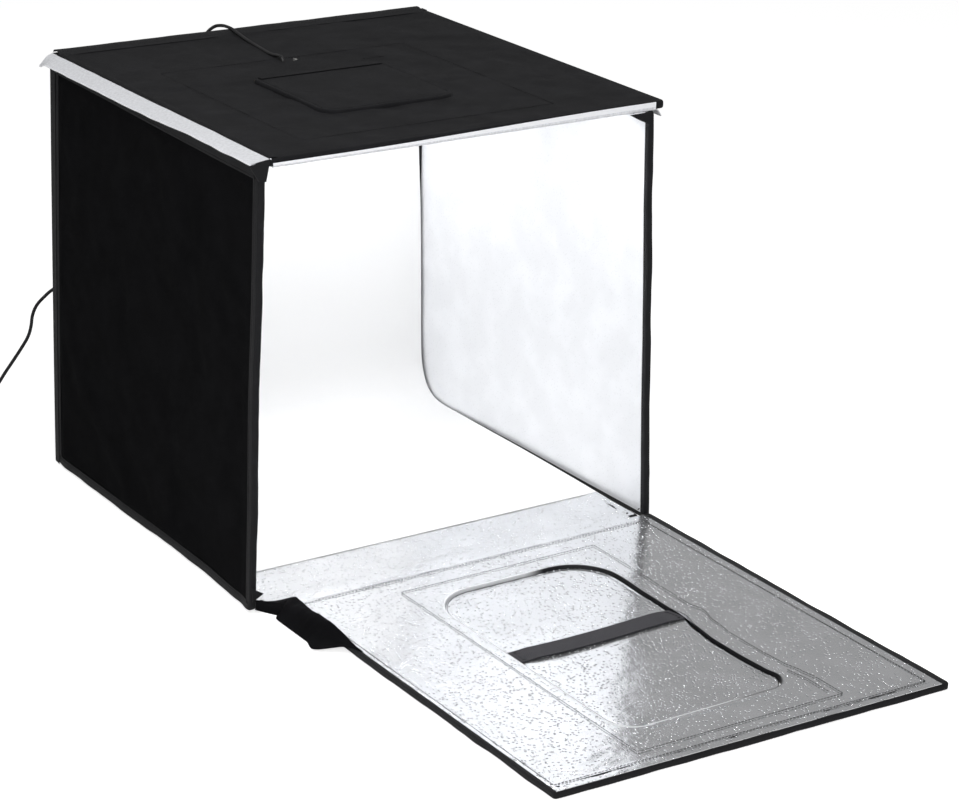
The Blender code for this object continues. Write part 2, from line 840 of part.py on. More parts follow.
def gusset_section(share):
    """Points (x, z) across the gusset, from its seam on the door out to its loose hem."""
    edge = DOOR_SHIFT - DOOR_WIDTH / 2
    rest = PANEL_THICKNESS + 2 * GAP
    fade = ease((share - GUSSET_FULL_SHARE) / (1 - GUSSET_FULL_SHARE))
    swell = ease(share / GUSSET_NECK_SHARE) * (1 - fade)
    width = GUSSET_SEAM / 2 + (GUSSET_SEAM / 2 + GUSSET_SPREAD) * swell
    steps = 2 * CORNER_STEPS
    section = []
    for step in range(steps + 1):
        part = step / steps
        x = edge + GUSSET_SEAM - width * part
        outside = max(edge - GUSSET_CLEARANCE - x, 0) / (GUSSET_SPREAD * GUSSET_SLOPE_SHARE)
        base = rest - (rest - GAP) * min(outside, 1)
        hump = math.sin(math.pi * part**GUSSET_HUMP_LEAN) ** GUSSET_HUMP_POWER
        wave = math.sin(2 * math.pi * GUSSET_FOLD_WAVES * part + GUSSET_FOLD_DRIFT * share)
        height = GUSSET_HEIGHT + GUSSET_FOLD * (1 + wave) / 2
        section.append((x, base + height * hump * swell))
    return section


def build_gusset(carrier):
    """The cloth gusset at the door's left edge, slack and folded while the door lies open."""
    start = FRONT - JOINT_GAP - GUSSET_ROOT
    steps = 3 * CORNER_STEPS
    rings = []
    for step in range(steps + 1):
        share = step / steps
        y = start - GUSSET_LENGTH * share
        section = gusset_section(share)
        lower = [(x, y, z) for x, z in section]
        upper = [(x, y, z + GUSSET_THICKNESS) for x, z in section]
        rings.append(upper + lower[::-1])
    add_solid("door_gusset", MATERIALS["cloth"], [loft(rings)], carrier, smooth=True)


def build_backdrop():
    """A white sheet hung at the back that sweeps forward over the bottom in one curve."""
    inner = CUBE_WIDTH / 2 - PANEL_THICKNESS
    wall = BACK - LINING_TOP - BACKDROP_BACK_GAP
    floor = PANEL_THICKNESS + GAP
    thick = BACKDROP_THICKNESS
    outer_radius = BACKDROP_SWEEP
    middle_y = wall - BACKDROP_LEAN - outer_radius
    middle_z = floor + outer_radius
    top = LID_UNDERSIDE - BACKDROP_TOP_GAP
    steps = 2 * CORNER_STEPS
    outside = [(FRONT + BACKDROP_FRONT_GAP, floor)]
    inside = [(FRONT + BACKDROP_FRONT_GAP, floor + thick)]
    for step in range(steps + 1):
        turn = math.radians(-90 + 90 * step / steps)
        for line, radius in ((outside, outer_radius), (inside, outer_radius - thick)):
            line.append((middle_y + radius * math.cos(turn), middle_z + radius * math.sin(turn)))
    outside.append((wall, top))
    inside.append((wall - thick, top))
    shape = strip_along_x(
        outside, inside, -inner + BACKDROP_SIDE_GAP_LEFT, inner - BACKDROP_SIDE_GAP_RIGHT
    )
    add_solid("backdrop_sheet", MATERIALS["backdrop"], [shape], smooth=True)
    reach = inner - BACKDROP_SIDE_GAP_RIGHT - HOOK_STRIP_INSET
    hook_top = WALL_TOP - BINDING_LIP - JOINT_GAP
    hook = box(
        (-reach, wall + GAP, hook_top - HOOK_STRIP_HEIGHT),
        (reach, BACK - LINING_TOP - GAP, hook_top),
    )
    add_solid("backdrop_hook_strip", MATERIALS["tape"], [hook])


def strip_along_x(outside, inside, low, high):
    """A bent sheet between two lines of (y, z) points, as rings from end to end."""
    rings = []
    for (y_out, z_out), (y_in, z_in) in zip(outside, inside):
        rings.append(
            [(low, y_out, z_out), (high, y_out, z_out), (high, y_in, z_in), (low, y_in, z_in)]
        )
    return loft(rings)


def bar_top():
    return LID_CEILING - BAR_PAD_THICKNESS - 2 * GAP


def build_light_bars(carrier):
    """Two aluminium channels under the lid, each with its board of chips and its hook pad."""
    for name, y in (("front", BAR_FRONT_Y), ("rear", BAR_REAR_Y)):
        build_light_bar("light_bar_" + name, y, carrier)
    build_link_lead(carrier)


def build_light_bar(name, y, carrier):
    top = bar_top()
    half = BAR_WIDTH / 2
    wall = BAR_WALL
    deep = top - BAR_HEIGHT
    reach = BAR_LENGTH / 2
    profile = [
        (y - half, top),
        (y - half, deep),
        (y - half + wall, deep),
        (y - half + wall, top - wall),
        (y + half - wall, top - wall),
        (y + half - wall, deep),
        (y + half, deep),
        (y + half, top),
    ]
    channel = along_x(profile, -reach, reach)
    add_solid(name + "_channel", MATERIALS["aluminium"], [channel], carrier)
    pad = box(
        (-reach + BAR_PAD_INSET, y - half, top + GAP),
        (reach - BAR_PAD_INSET, y + half, LID_CEILING - GAP),
    )
    add_solid(name + "_pad", MATERIALS["tape"], [pad], carrier)
    run = reach - BAR_STRIP_INSET
    board_top = top - wall - GAP
    board_low = board_top - STRIP_BOARD_THICKNESS
    board = box(
        (-run, y - STRIP_BOARD_WIDTH / 2, board_low), (run, y + STRIP_BOARD_WIDTH / 2, board_top)
    )
    strip = add_solid(name + "_strip", MATERIALS["strip"], [board], carrier)
    chips = []
    for index in range(CHIP_COUNT):
        x = run * ((2 * index + 1) / CHIP_COUNT - 1)
        chips.append(
            box(
                (x - CHIP_LENGTH / 2, y - CHIP_WIDTH / 2, board_low - CHIP_HEIGHT),
                (x + CHIP_LENGTH / 2, y + CHIP_WIDTH / 2, board_low + CHIP_ROOT),
            )
        )
    join(strip, add_cutter(name + "_chips_to_join", chips))


def build_link_lead(carrier):
    """The lead that joins the two light bars along the lid's lining."""
    half = BAR_WIDTH / 2
    height = LID_CEILING - GAP - LINK_LEAD_RADIUS
    low = BAR_FRONT_Y + half + GAP
    high = BAR_REAR_Y - half - GAP
    turn = BAR_HEIGHT
    drop = bar_top() - BAR_HEIGHT / 2
    route = [
        (LINK_LEAD_X, low, drop),
        (LINK_LEAD_X, low + turn / 3, drop),
        (LINK_LEAD_X, low + turn, (drop + height) / 2),
        (LINK_LEAD_X, low + 2 * turn, height),
        (LINK_LEAD_X, (low + high) / 2, height),
        (LINK_LEAD_X, high - 2 * turn, height),
        (LINK_LEAD_X, high - turn, (drop + height) / 2),
        (LINK_LEAD_X, high - turn / 3, drop),
        (LINK_LEAD_X, high, drop),
    ]
    add_tube("light_bar_link_lead", MATERIALS["lead"], route, LINK_LEAD_RADIUS, 2, carrier)


def add_tube(name, finish, points, radius, roundness, carrier=None):
    """A round lead along its points, with flat ends."""
    curve = bpy.data.curves.new(name, "CURVE")
    curve.dimensions = "3D"
    curve.bevel_depth = radius
    curve.bevel_resolution = roundness
    curve.use_fill_caps = True
    line = curve.splines.new("POLY")
    line.points.add(len(points) - 1)
    origin = carrier.location if carrier else Vector((0, 0, 0))
    for spot, point in zip(line.points, points):
        spot.co = (*(Vector(point) - origin), 1.0)
    curve.materials.append(finish)
    thing = bpy.data.objects.new(name, curve)
    bpy.context.collection.objects.link(thing)
    if carrier:
        thing.parent = carrier
    return thing


def smooth_route(route, steps):
    """Points on one smooth curve through a route's own points."""
    spots = [Vector(point) for point in route]
    first = spots[0] * 2 - spots[1]
    last = spots[-1] * 2 - spots[-2]
    padded = [first] + spots + [last]
    points = []
    for index in range(1, len(padded) - 2):
        before, start, end, after = padded[index - 1 : index + 3]
        for step in range(steps):
            t = step / steps
            points.append(
                0.5
                * (
                    2 * start
                    + (end - before) * t
                    + (2 * before - 5 * start + 4 * end - after) * t**2
                    + (3 * start - before - 3 * end + after) * t**3
                )
            )
    points.append(spots[-1])
    return points


def route_length(points):
    return sum((after - before).length for before, after in zip(points, points[1:]))


def coil_points():
    """Turns that spiral in on the floor, climb one layer and spiral out again on top."""
    turns = COIL_TURNS_A_LAYER
    count = round(2 * turns * COIL_POINTS_A_TURN)
    floor = CORD_RADIUS + GAP
    points = []
    for step in range(count + 1):
        done = step / COIL_POINTS_A_TURN
        inward = done if done <= turns else 2 * turns - done
        radius = COIL_RADIUS - COIL_PITCH * inward
        climb = ease((done - turns) / COIL_CLIMB_TURNS + 0.5)
        angle = -math.pi / 2 - 2 * math.pi * done
        points.append(
            Vector(
                (
                    COIL_X + radius * math.cos(angle),
                    COIL_Y + radius * math.sin(angle),
                    floor + COIL_LAYER_STEP * climb,
                )
            )
        )
    start = points[0] + Vector((2 * CORD_RADIUS + GAP, 0, 0))
    end = points[-1]
    tail = [end + Vector((TAIL_LENGTH * share, 0, 0)) for share in TAIL_SHARES]
    return [start] + points + tail


def least_gap(points, diameter):
    """The smallest free space between two turns of a tube, measured on its points."""
    skip = COIL_POINTS_A_TURN // 2
    least = min(
        (points[one] - points[two]).length
        for one in range(len(points))
        for two in range(one + skip, len(points))
    )
    return least - diameter


def build_power_lead(carrier):
    lid_points = smooth_route(LID_LEAD_ROUTE, LID_LEAD_STEPS)
    drop_points = smooth_route(DROP_LEAD_ROUTE, DROP_LEAD_STEPS)
    coil = coil_points()
    add_tube("power_lead_on_lid", MATERIALS["lead"], lid_points, CORD_RADIUS, 2, carrier)
    add_tube("power_lead_drop", MATERIALS["lead"], drop_points, CORD_RADIUS, 2)
    add_tube("power_lead_coil", MATERIALS["lead"], coil, CORD_RADIUS, 1)
    lengths = [route_length(points) for points in (lid_points, drop_points, coil)]
    print("power lead lengths in metres:", [round(length, 4) for length in lengths])
    print("power lead in all:", round(sum(lengths), 4))
    print("least gap between turns in mm:", round(1000 * least_gap(coil, 2 * CORD_RADIUS), 3))
    build_adapter(coil[-1])


def build_adapter(lead_end):
    """The plug-in power adapter at the lead's far end, lying on the floor."""
    x, y, z = lead_end
    start = x + GAP
    base = start + RELIEF_LENGTH
    end = base + ADAPTER_LENGTH
    side = ADAPTER_WIDTH / 2
    turn = ADAPTER_ROUND
    outline = rounded((y - side, 0), (y + side, ADAPTER_HEIGHT), turn, turn)
    shrink = turn / 2
    inner = rounded(
        (y - side + shrink, shrink), (y + side - shrink, ADAPTER_HEIGHT - shrink), shrink, shrink
    )
    relief = [
        (start, RELIEF_TIP_RADIUS),
        (start + RELIEF_LENGTH / 2, (RELIEF_TIP_RADIUS + RELIEF_RADIUS) / 2),
        (base, RELIEF_RADIUS),
    ]
    half_turn = len(outline) // 2
    lines = []
    for place, radius in relief:
        ring = circle(y, z, radius, len(outline))
        lines.append((place, ring[half_turn:] + ring[:half_turn]))
    lines += [(base, inner), (base + shrink, outline), (end - shrink, outline), (end, inner)]
    body = loft([[(place, a, b) for a, b in line] for place, line in lines])
    add_solid("adapter_body", MATERIALS["adapter"], [body])
    middle = ADAPTER_HEIGHT / 2
    for name, way in (("adapter_pin_near", -1), ("adapter_pin_far", 1)):
        centre = y + way * PIN_SPACING / 2
        pin = box(
            (end + GAP, centre - PIN_THICKNESS / 2, middle - PIN_WIDTH / 2),
            (end + GAP + PIN_LENGTH, centre + PIN_THICKNESS / 2, middle + PIN_WIDTH / 2),
        )
        add_solid(name, MATERIALS["brass"], [pin])


def make_materials():
    return {
        "cloth": material("black_cloth", BLACK_CLOTH, 0.8),
        "lid_cloth": material("lid_cloth", LID_CLOTH, 0.75),
        "binding": material("black_binding", BLACK_BINDING, 0.7),
        "strap": material("strap_webbing", STRAP_BLACK, 0.8),
        "board": material("fibre_board", BOARD_BROWN, 0.9),
        "silver": material("silver_lining", SILVER, 0.35, 0.8),
        "backdrop": material("backdrop_white", BACKDROP_WHITE, 0.6),
        "tape": material("hook_tape", TAPE_GREY, 0.85),
        "aluminium": material("bar_aluminium", ALUMINIUM, 0.35, 1.0),
        "strip": material("light_strip", STRIP_WHITE, 0.5),
        "nickel": material("nickel_eyelet", NICKEL, 0.25, 1.0),
        "lead": material("lead_rubber", LEAD_BLACK, 0.5),
        "adapter": material("adapter_plastic", ADAPTER_BLACK, 0.45),
        "brass": material("pin_brass", BRASS, 0.3, 1.0),
    }


clear_scene()
MATERIALS = make_materials()
door_pivot = pivot("door_pivot", (0, FRONT, PANEL_THICKNESS))
lid_pivot = pivot("lid_pivot", (0, BACK, CUBE_HEIGHT))
left_wall_pivot = pivot("left_wall_pivot", (LEFT, BACK, 0))
right_wall_pivot = pivot("right_wall_pivot", (RIGHT, BACK, 0))
lid_flap_pivot = pivot("lid_flap_pivot", (0, LID_FLAP_HINGE_Y, lid_flap_top()))
door_flap_pivot = pivot("door_flap_pivot", (0, door_window_box()[0][1], door_flap_heights()[3]))
build_bottom_and_back()
build_walls(left_wall_pivot, right_wall_pivot)
build_lid(lid_pivot)
build_lid_flap(lid_flap_pivot)
build_lid_flap_strip(lid_pivot)
build_closure_tapes(lid_pivot)
build_hinge_strips()
build_door(door_pivot)
build_door_flap(door_flap_pivot)
build_door_flap_strip(door_pivot)
build_gusset(door_pivot)
build_backdrop()
build_light_bars(lid_pivot)
build_power_lead(lid_pivot)
print("panel thickness:", round(PANEL_THICKNESS, 5), "lid underside:", round(LID_UNDERSIDE, 5))
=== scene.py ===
"""A folding light tent cube: its cloth, linings, bindings, backdrop, light bars and lead.

Laid out as a Blender add-on and run as a script. Everything is in metres, +Z up, with the cube
standing on z = 0 and its door laid open towards -Y.
"""

import json
import math
from contextlib import contextmanager

import bmesh
import bpy
from mathutils import Matrix, Quaternion, Vector, noise

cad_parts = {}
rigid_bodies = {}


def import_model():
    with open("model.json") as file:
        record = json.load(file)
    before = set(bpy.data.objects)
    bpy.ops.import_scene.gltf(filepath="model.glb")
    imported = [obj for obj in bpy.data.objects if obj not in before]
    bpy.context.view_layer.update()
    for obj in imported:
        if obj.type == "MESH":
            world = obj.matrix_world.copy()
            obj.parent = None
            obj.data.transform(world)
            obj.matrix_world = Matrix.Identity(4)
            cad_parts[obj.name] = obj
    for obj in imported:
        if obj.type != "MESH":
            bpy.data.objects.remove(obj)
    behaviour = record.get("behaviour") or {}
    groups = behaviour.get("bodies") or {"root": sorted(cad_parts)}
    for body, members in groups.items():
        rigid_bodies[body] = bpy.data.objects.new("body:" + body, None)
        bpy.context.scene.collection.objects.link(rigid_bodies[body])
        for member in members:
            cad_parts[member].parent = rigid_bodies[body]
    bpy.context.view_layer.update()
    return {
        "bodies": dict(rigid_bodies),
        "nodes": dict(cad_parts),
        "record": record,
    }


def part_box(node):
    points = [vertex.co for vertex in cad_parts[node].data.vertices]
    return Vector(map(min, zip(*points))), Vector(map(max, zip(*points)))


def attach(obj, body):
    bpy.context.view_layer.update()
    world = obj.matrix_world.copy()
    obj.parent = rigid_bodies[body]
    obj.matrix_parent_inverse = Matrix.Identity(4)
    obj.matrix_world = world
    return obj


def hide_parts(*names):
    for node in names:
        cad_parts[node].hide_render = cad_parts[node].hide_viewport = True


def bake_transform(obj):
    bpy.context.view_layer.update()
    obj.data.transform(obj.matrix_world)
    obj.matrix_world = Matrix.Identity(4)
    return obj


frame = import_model()

bl_info = {
    "name": "Light Tent Cube",
    "version": (1, 0, 0),
    "blender": (4, 5, 0),
    "location": "3D View > Sidebar > Light Tent",
    "description": "Builds a folding light tent cube with its door laid open",
    "category": "Object",
}

# Read from the frame
CUBE_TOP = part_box("lid_binding")[1].z
HINGE_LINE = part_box("back_binding")[1].y
DOOR_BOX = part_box("door_binding")
WINDOW_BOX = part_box("door_window_facing")

# Camera, fitted to the photograph
CAMERA_PLACE = (-1.6535, -2.6870, 1.3060)
CAMERA_YAW = 34.38
CAMERA_PITCH = -20.78
CAMERA_ROLL = 1.8
CAMERA_LENS = 108.3

# Lamps: name, size, place, aim, power
LAMPS = [
    ("overhead_softbox", 1.6, (-0.35, -0.75, 2.10), (0.00, -0.10, 0.30), 23.0),
    ("front_softbox", 1.4, (-0.60, -2.60, 1.00), (0.05, -0.30, 0.15), 10.0),
    ("side_softbox", 0.5, (-0.85, -0.80, 0.38), (-0.25, -0.20, 0.25), 1.6),
]
BAR_LAMP_POWER = 0.66
BAR_LAMP_SIZE = (0.40, 0.012)
AMBIENT = 0.26
MIRRORED_STUDIO = 0.30
FLOOR_GLOW = 0.74
FLOOR_MIRRORED = 0.10
FLOOR_GREY = 0.80

# Outputs of the Light Path node
GLOSSY_RAY = 3

# Outward directions of the six panels
PANEL_NORMALS = {
    "bottom": (0, 0, -1),
    "back": (0, 1, 0),
    "left_wall": (-1, 0, 0),
    "right_wall": (1, 0, 0),
    "lid": (0, 0, 1),
    "door": (0, 0, -1),
}
WALLS = ("left_wall", "right_wall")

# Radii of the windows' corners: in front and behind
WINDOW_RADII = {"lid": (0.018, 0.018), "door": (0.030, 0.055)}

# How far the slack right wall stands off its plane at the open front: at its bottom and top
RIGHT_LEAN = (0.0080, -0.0150)

# How far the tent's left side stands off its plane, from the back to the front: at the bottom
# and at the top, and how the one goes over into the other with height
FLARE_BOTTOM = [
    (0.300, 0.0080),
    (0.250, 0.0080),
    (0.215, 0.0120),
    (0.000, 0.0118),
    (-0.118, 0.0125),
    (-0.218, 0.0180),
    (-0.250, 0.0230),
    (-0.300, 0.0230),
]
FLARE_TOP = [(0.300, 0.0027), (0.250, 0.0027), (-0.250, 0.0135), (-0.300, 0.0135)]
FLARE_POWER = 1.4

# Where to the left the flare sets in, and how far on it is full
FLARE_START = 0.05
FLARE_REACH = 0.19

# The left wall's front foot: where its lift sets in along X and Y, and how high it goes
FOOT = (-0.235, -0.232)
FOOT_LIFT = 0.0030

# Binding left bare by the silver film on each face: at -X, +X, -Y and +Y of the face
FILM_MARGINS = {
    "left_wall": (0.0065, 0.0025, 0.0065, 0.0025),
    "right_wall": (0.0025, 0.0065, 0.0065, 0.0025),
    "door": (0.0028, 0.0105, 0.0012, 0.0025),
}
FILM_MARGIN = (0.0025, 0.0025, 0.0025, 0.0025)

# How the open door lies: its front edge runs askew, which starts in front of its window, and
# the window's right side sags, by these amounts along Y and this far to each side
DOOR_SKEW = 0.0280
DOOR_SKEW_START = 0.008
DOOR_SAG_REACH = 0.060
DOOR_SAG = [
    (-0.350, 0.000),
    (-0.385, 0.000),
    (-0.430, -0.002),
    (-0.475, -0.003),
    (-0.495, 0.001),
    (-0.525, -0.006),
    (-0.560, -0.010),
    (-0.600, -0.010),
    (-0.640, -0.008),
    (-0.665, -0.003),
    (-0.685, 0.000),
]

# The power lead's route over the lid and down to the floor
LEAD_ROUTE = [
    (-0.0390, 0.1147, 0.4860),
    (-0.0390, 0.1090, 0.4855),
    (-0.0390, 0.1020, 0.4848),
    (-0.0390, 0.0960, 0.4860),
    (-0.0390, 0.0917, 0.4893),
    (-0.0390, 0.0900, 0.4940),
    (-0.0390, 0.0900, 0.4990),
    (-0.0389, 0.0912, 0.5030),
    (-0.0385, 0.0955, 0.5056),
    (-0.0378, 0.1040, 0.5053),
    (-0.0366, 0.1160, 0.5033),
    (-0.0348, 0.1330, 0.5024),
    (-0.0322, 0.1530, 0.5023),
    (-0.0294, 0.1760, 0.5024),
    (-0.0266, 0.2000, 0.5030),
    (-0.0244, 0.2190, 0.5043),
    (-0.0231, 0.2310, 0.5052),
    (-0.0223, 0.2390, 0.5058),
    (-0.0226, 0.2480, 0.5062),
    (-0.0250, 0.2570, 0.5062),
    (-0.0305, 0.2640, 0.5046),
    (-0.0380, 0.2672, 0.4990),
    (-0.0445, 0.2680, 0.4900),
    (-0.0500, 0.2680, 0.4780),
    (-0.0560, 0.2678, 0.4620),
    (-0.0640, 0.2675, 0.4450),
    (-0.0750, 0.2670, 0.4230),
    (-0.0880, 0.2665, 0.3950),
    (-0.1030, 0.2660, 0.3500),
    (-0.1230, 0.2655, 0.3050),
    (-0.1480, 0.2650, 0.2680),
    (-0.1780, 0.2650, 0.2420),
    (-0.2130, 0.2650, 0.2250),
    (-0.2470, 0.2650, 0.2120),
    (-0.2623, 0.2650, 0.2023),
    (-0.2715, 0.2650, 0.1935),
    (-0.2766, 0.2650, 0.1825),
    (-0.2787, 0.2650, 0.1700),
    (-0.2830, 0.2650, 0.1575),
    (-0.2924, 0.2650, 0.1440),
    (-0.3044, 0.2650, 0.1290),
    (-0.3165, 0.2650, 0.1140),
    (-0.3290, 0.2650, 0.0960),
    (-0.3410, 0.2650, 0.0730),
    (-0.3510, 0.2650, 0.0470),
    (-0.3600, 0.2653, 0.0240),
    (-0.3700, 0.2660, 0.0090),
    (-0.3820, 0.2675, 0.0030),
    (-0.3945, 0.2684, 0.0023),
    (-0.4070, 0.2690, 0.0023),
    (-0.4165, 0.2690, 0.0023),
    (-0.4253, 0.2690, 0.0023),
]
LEAD_RADIUS = 0.0020
COIL_CENTRE = (-0.4300, 0.3000)
COIL_RADIUS = 0.0310
COIL_PITCH = 0.0046
COIL_TURNS_A_LAYER = 3.25
COIL_CLIMB_TURNS = 0.5
COIL_POINTS_A_TURN = 24
COIL_TAIL = 0.0200

# How far the floor lies under the tent
BELOW = 0.0003


def slot_colour(slot):
    """The base colour that the record gives a material slot."""
    for entry in frame["record"]["materials"]:
        if entry["slot"] == slot:
            return tuple(entry["base_color"][:3])
    raise ValueError("the record has no slot " + slot)


def length_setting(name, description, default):
    """A length that can be changed in the sidebar."""
    return bpy.props.FloatProperty(
        name=name, description=description, default=default, unit="LENGTH"
    )


def colour_setting(name, description, slot):
    """A colour that can be changed in the sidebar, from the record's slot."""
    return bpy.props.FloatVectorProperty(
        name=name, description=description, subtype="COLOR", size=3, default=slot_colour(slot)
    )


class LightTentSizes(bpy.types.PropertyGroup):
    cloth: length_setting("Cloth", "Thickness of the outer cloth", 0.0012)
    lining: length_setting("Lining", "Thickness of the silver lining", 0.0006)
    binding: length_setting("Binding", "Thickness of the binding tape", 0.0008)
    lip: length_setting("Binding Lip", "Width of binding on each face", 0.012)
    fold: length_setting("Fold", "Radius of the binding's fold", 0.0022)
    wrinkle: length_setting("Wrinkle", "Most that the cloth stands off its board", 0.0022)
    thread: length_setting("Thread", "Radius of the sewing thread", 0.00035)
    stitch: length_setting("Stitch", "Distance from stitch to stitch", 0.0042)
    pebble: length_setting("Pit", "Distance between the lining's embossed pits", 0.0042)
    slack: bpy.props.FloatProperty(
        name="Slack", description="Share by which the cloth is cut larger than its board",
        default=0.012,
    )


class LightTentColours(bpy.types.PropertyGroup):
    black_cloth: colour_setting("Wall Cloth", "Cloth of walls, back and door", "black_cloth")
    lid_cloth: colour_setting("Lid Cloth", "Outer cloth of the lid and its flap", "lid_cloth")
    black_binding: colour_setting("Binding", "Folded tape round the panels", "black_binding")
    silver_lining: colour_setting("Silver Lining", "Embossed reflecting film", "silver_lining")
    backdrop_white: colour_setting("Backdrop", "Hanging white sheet", "backdrop_white")
    hook_tape: colour_setting("Closure Tape", "Soft side of the hook-and-loop tape", "hook_tape")


def sizes():
    return bpy.context.scene.light_tent_sizes


def colours():
    return bpy.context.scene.light_tent_colours


# Materials


class Wire:
    """A value on its way through a material: arithmetic on it adds Math nodes."""

    def __init__(self, finish, socket):
        self.finish = finish
        self.socket = socket

    def math(self, operation, *values):
        settings = {"operation": operation}
        return self.finish.node("ShaderNodeMath", settings, values)

    def __add__(self, other):
        return self.math("ADD", self, other)

    def __sub__(self, other):
        return self.math("SUBTRACT", self, other)

    def __rsub__(self, other):
        return self.math("SUBTRACT", other, self)

    def __mul__(self, other):
        return self.math("MULTIPLY", self, other)

    def sine(self):
        return self.math("SINE", self)

    def size(self):
        return self.math("ABSOLUTE", self)

    def between(self, low, high):
        """0 at low, 1 at high, smooth in between."""
        settings = {"interpolation_type": "SMOOTHSTEP"}
        return self.finish.node("ShaderNodeMapRange", settings, {0: self, 1: low, 2: high})


class Graph:
    """A node tree in the making."""

    def __init__(self, tree):
        self.tree = tree

    def feed(self, socket, value):
        if isinstance(value, Wire):
            self.tree.links.new(value.socket, socket)
        else:
            socket.default_value = value

    def node(self, kind, settings=None, values=(), out=0):
        """Adds a node from its type, its settings and the values or wires of its sockets."""
        made = self.tree.nodes.new(kind)
        for key, value in (settings or {}).items():
            setattr(made, key, value)
        pairs = values.items() if isinstance(values, dict) else enumerate(values)
        for key, value in pairs:
            self.feed(made.inputs[key], value)
        return Wire(self, made.outputs[out])

    def mix(self, share, first, second):
        """Colour that goes from first to second."""
        values = {0: share, 6: self.colour(first), 7: self.colour(second)}
        return self.node("ShaderNodeMix", {"data_type": "RGBA"}, values, out=2)

    def colour(self, value):
        return value if isinstance(value, Wire) else (*value, 1.0)


class Finish(Graph):
    """A material in the making, round one Principled shader."""

    def __init__(self, name, colour, roughness, **values):
        self.material = bpy.data.materials.new(name)
        self.material.use_nodes = True
        super().__init__(self.material.node_tree)
        self.shader = self.tree.nodes["Principled BSDF"]
        self.material.diffuse_color = (*colour, 1.0)
        self.set("Base Color", (*colour, 1.0))
        self.set("Roughness", roughness)
        for key, value in values.items():
            self.set(key.replace("_", " ").title().replace("Ior", "IOR"), value)

    def set(self, socket, value):
        self.feed(self.shader.inputs[socket], value)

    def place(self):
        """Object coordinates, in metres."""
        return self.node("ShaderNodeTexCoord", out=3)

    def flat_place(self):
        """The place on the flat cloth, in metres, from the piece's own map."""
        return self.node("ShaderNodeUVMap", {"uv_map": "flat"})

    def parts(self, vector):
        made = self.tree.nodes.new("ShaderNodeSeparateXYZ")
        self.tree.links.new(vector.socket, made.inputs[0])
        return [Wire(self, socket) for socket in made.outputs]

    def noise(self, vector, across, detail=2.0, roughness=0.5):
        values = {"Vector": vector, "Scale": 1 / across, "Detail": detail, "Roughness": roughness}
        return self.node("ShaderNodeTexNoise", None, values)

    def cells(self, vector, across, feature="F1", smoothness=0.4):
        settings = {"feature": feature}
        values = {"Vector": vector, "Scale": 1 / across}
        if feature == "SMOOTH_F1":
            values["Smoothness"] = smoothness
        return self.node("ShaderNodeTexVoronoi", settings, values)

    def bump(self, height, depth):
        """Raises the surface by up to depth where height is 1."""
        values = {"Strength": 1.0, "Distance": depth, "Height": height}
        return self.node("ShaderNodeBump", None, values)


def darker(colour, share):
    """A colour times a share, which makes it lighter where the share is over 1."""
    return tuple(channel * share for channel in colour)


def cloth_finish(name, colour, yarn, roughness, sheen, gloss):
    """Plain-woven cloth: yarns over and under each other, lint and a slightly uneven dye."""
    made = Finish(name, colour, roughness, specular_ior_level=gloss, sheen_weight=sheen)
    made.set("Sheen Roughness", 0.45)
    flat = made.flat_place()
    across, along, _ = made.parts(flat)
    turn = 2 * math.pi / yarn
    weave = (across * turn).sine() * (along * turn).sine() * 0.5 + 0.5
    patches = made.noise(flat, 0.045, 3.0)
    lint = made.noise(flat, 0.0016, 2.0).between(0.70, 0.80)
    tone = made.mix(patches.between(0.30, 0.75), darker(colour, 0.80), darker(colour, 1.25))
    tone = made.mix(weave * 0.35, tone, darker(colour, 0.55))
    made.set("Base Color", made.mix(lint * 0.25, tone, darker(colour, 3.0)))
    made.set("Roughness", made.noise(flat, 0.02) * 0.16 + (roughness - 0.08))
    height = weave * 0.6 + made.noise(flat, 0.006, 3.0) * 0.8
    made.set("Normal", made.bump(height, 0.00022))
    return made.material


def binding_finish(name, colour):
    """Twill tape: slanting ribs, a little worn where it folds."""
    made = Finish(name, colour, 0.72, specular_ior_level=0.2, sheen_weight=0.06)
    place = made.place()
    x, y, z = made.parts(place)
    rib = ((x + y + z) * (2 * math.pi / 0.0011)).sine() * 0.5 + 0.5
    worn = made.noise(place, 0.012, 3.0).between(0.52, 0.75)
    tone = made.mix(worn * 0.6, darker(colour, 0.8), darker(colour, 2.1))
    made.set("Base Color", made.mix(rib * 0.3, tone, darker(colour, 0.5)))
    made.set("Roughness", worn * 0.12 + 0.66)
    made.set("Normal", made.bump(rib * 0.5 + made.noise(place, 0.004, 2.0), 0.00025))
    return made.material


def silver_finish(name, colour, pebble, depth, roughness, metallic):
    """Reflecting film on cloth, embossed all over with small pits, which are painted darker as
    shade.
    """
    made = Finish(name, colour, roughness, metallic=metallic, specular_ior_level=0.5)
    flat = made.flat_place()
    drift = made.noise(flat, 0.020, 2.0)
    cell = made.cells(flat, pebble, "SMOOTH_F1", 0.15)
    pit = 1 - cell.between(0.04, 0.34)
    rub = made.noise(flat, 0.055, 4.0).between(0.38, 0.70)
    crumple = made.noise(flat, 0.0009, 2.0)
    tone = made.mix(rub * 0.4, darker(colour, 0.95), darker(colour, 1.10))
    # The pits are painted darker: painted shade in the hollows
    made.set("Base Color", made.mix(pit * 0.25, tone, darker(colour, 0.70)))
    made.set("Roughness", rub * 0.08 + roughness)
    height = drift * 0.5 + crumple * 0.06 - pit
    made.set("Normal", made.bump(height, depth))
    return made.material


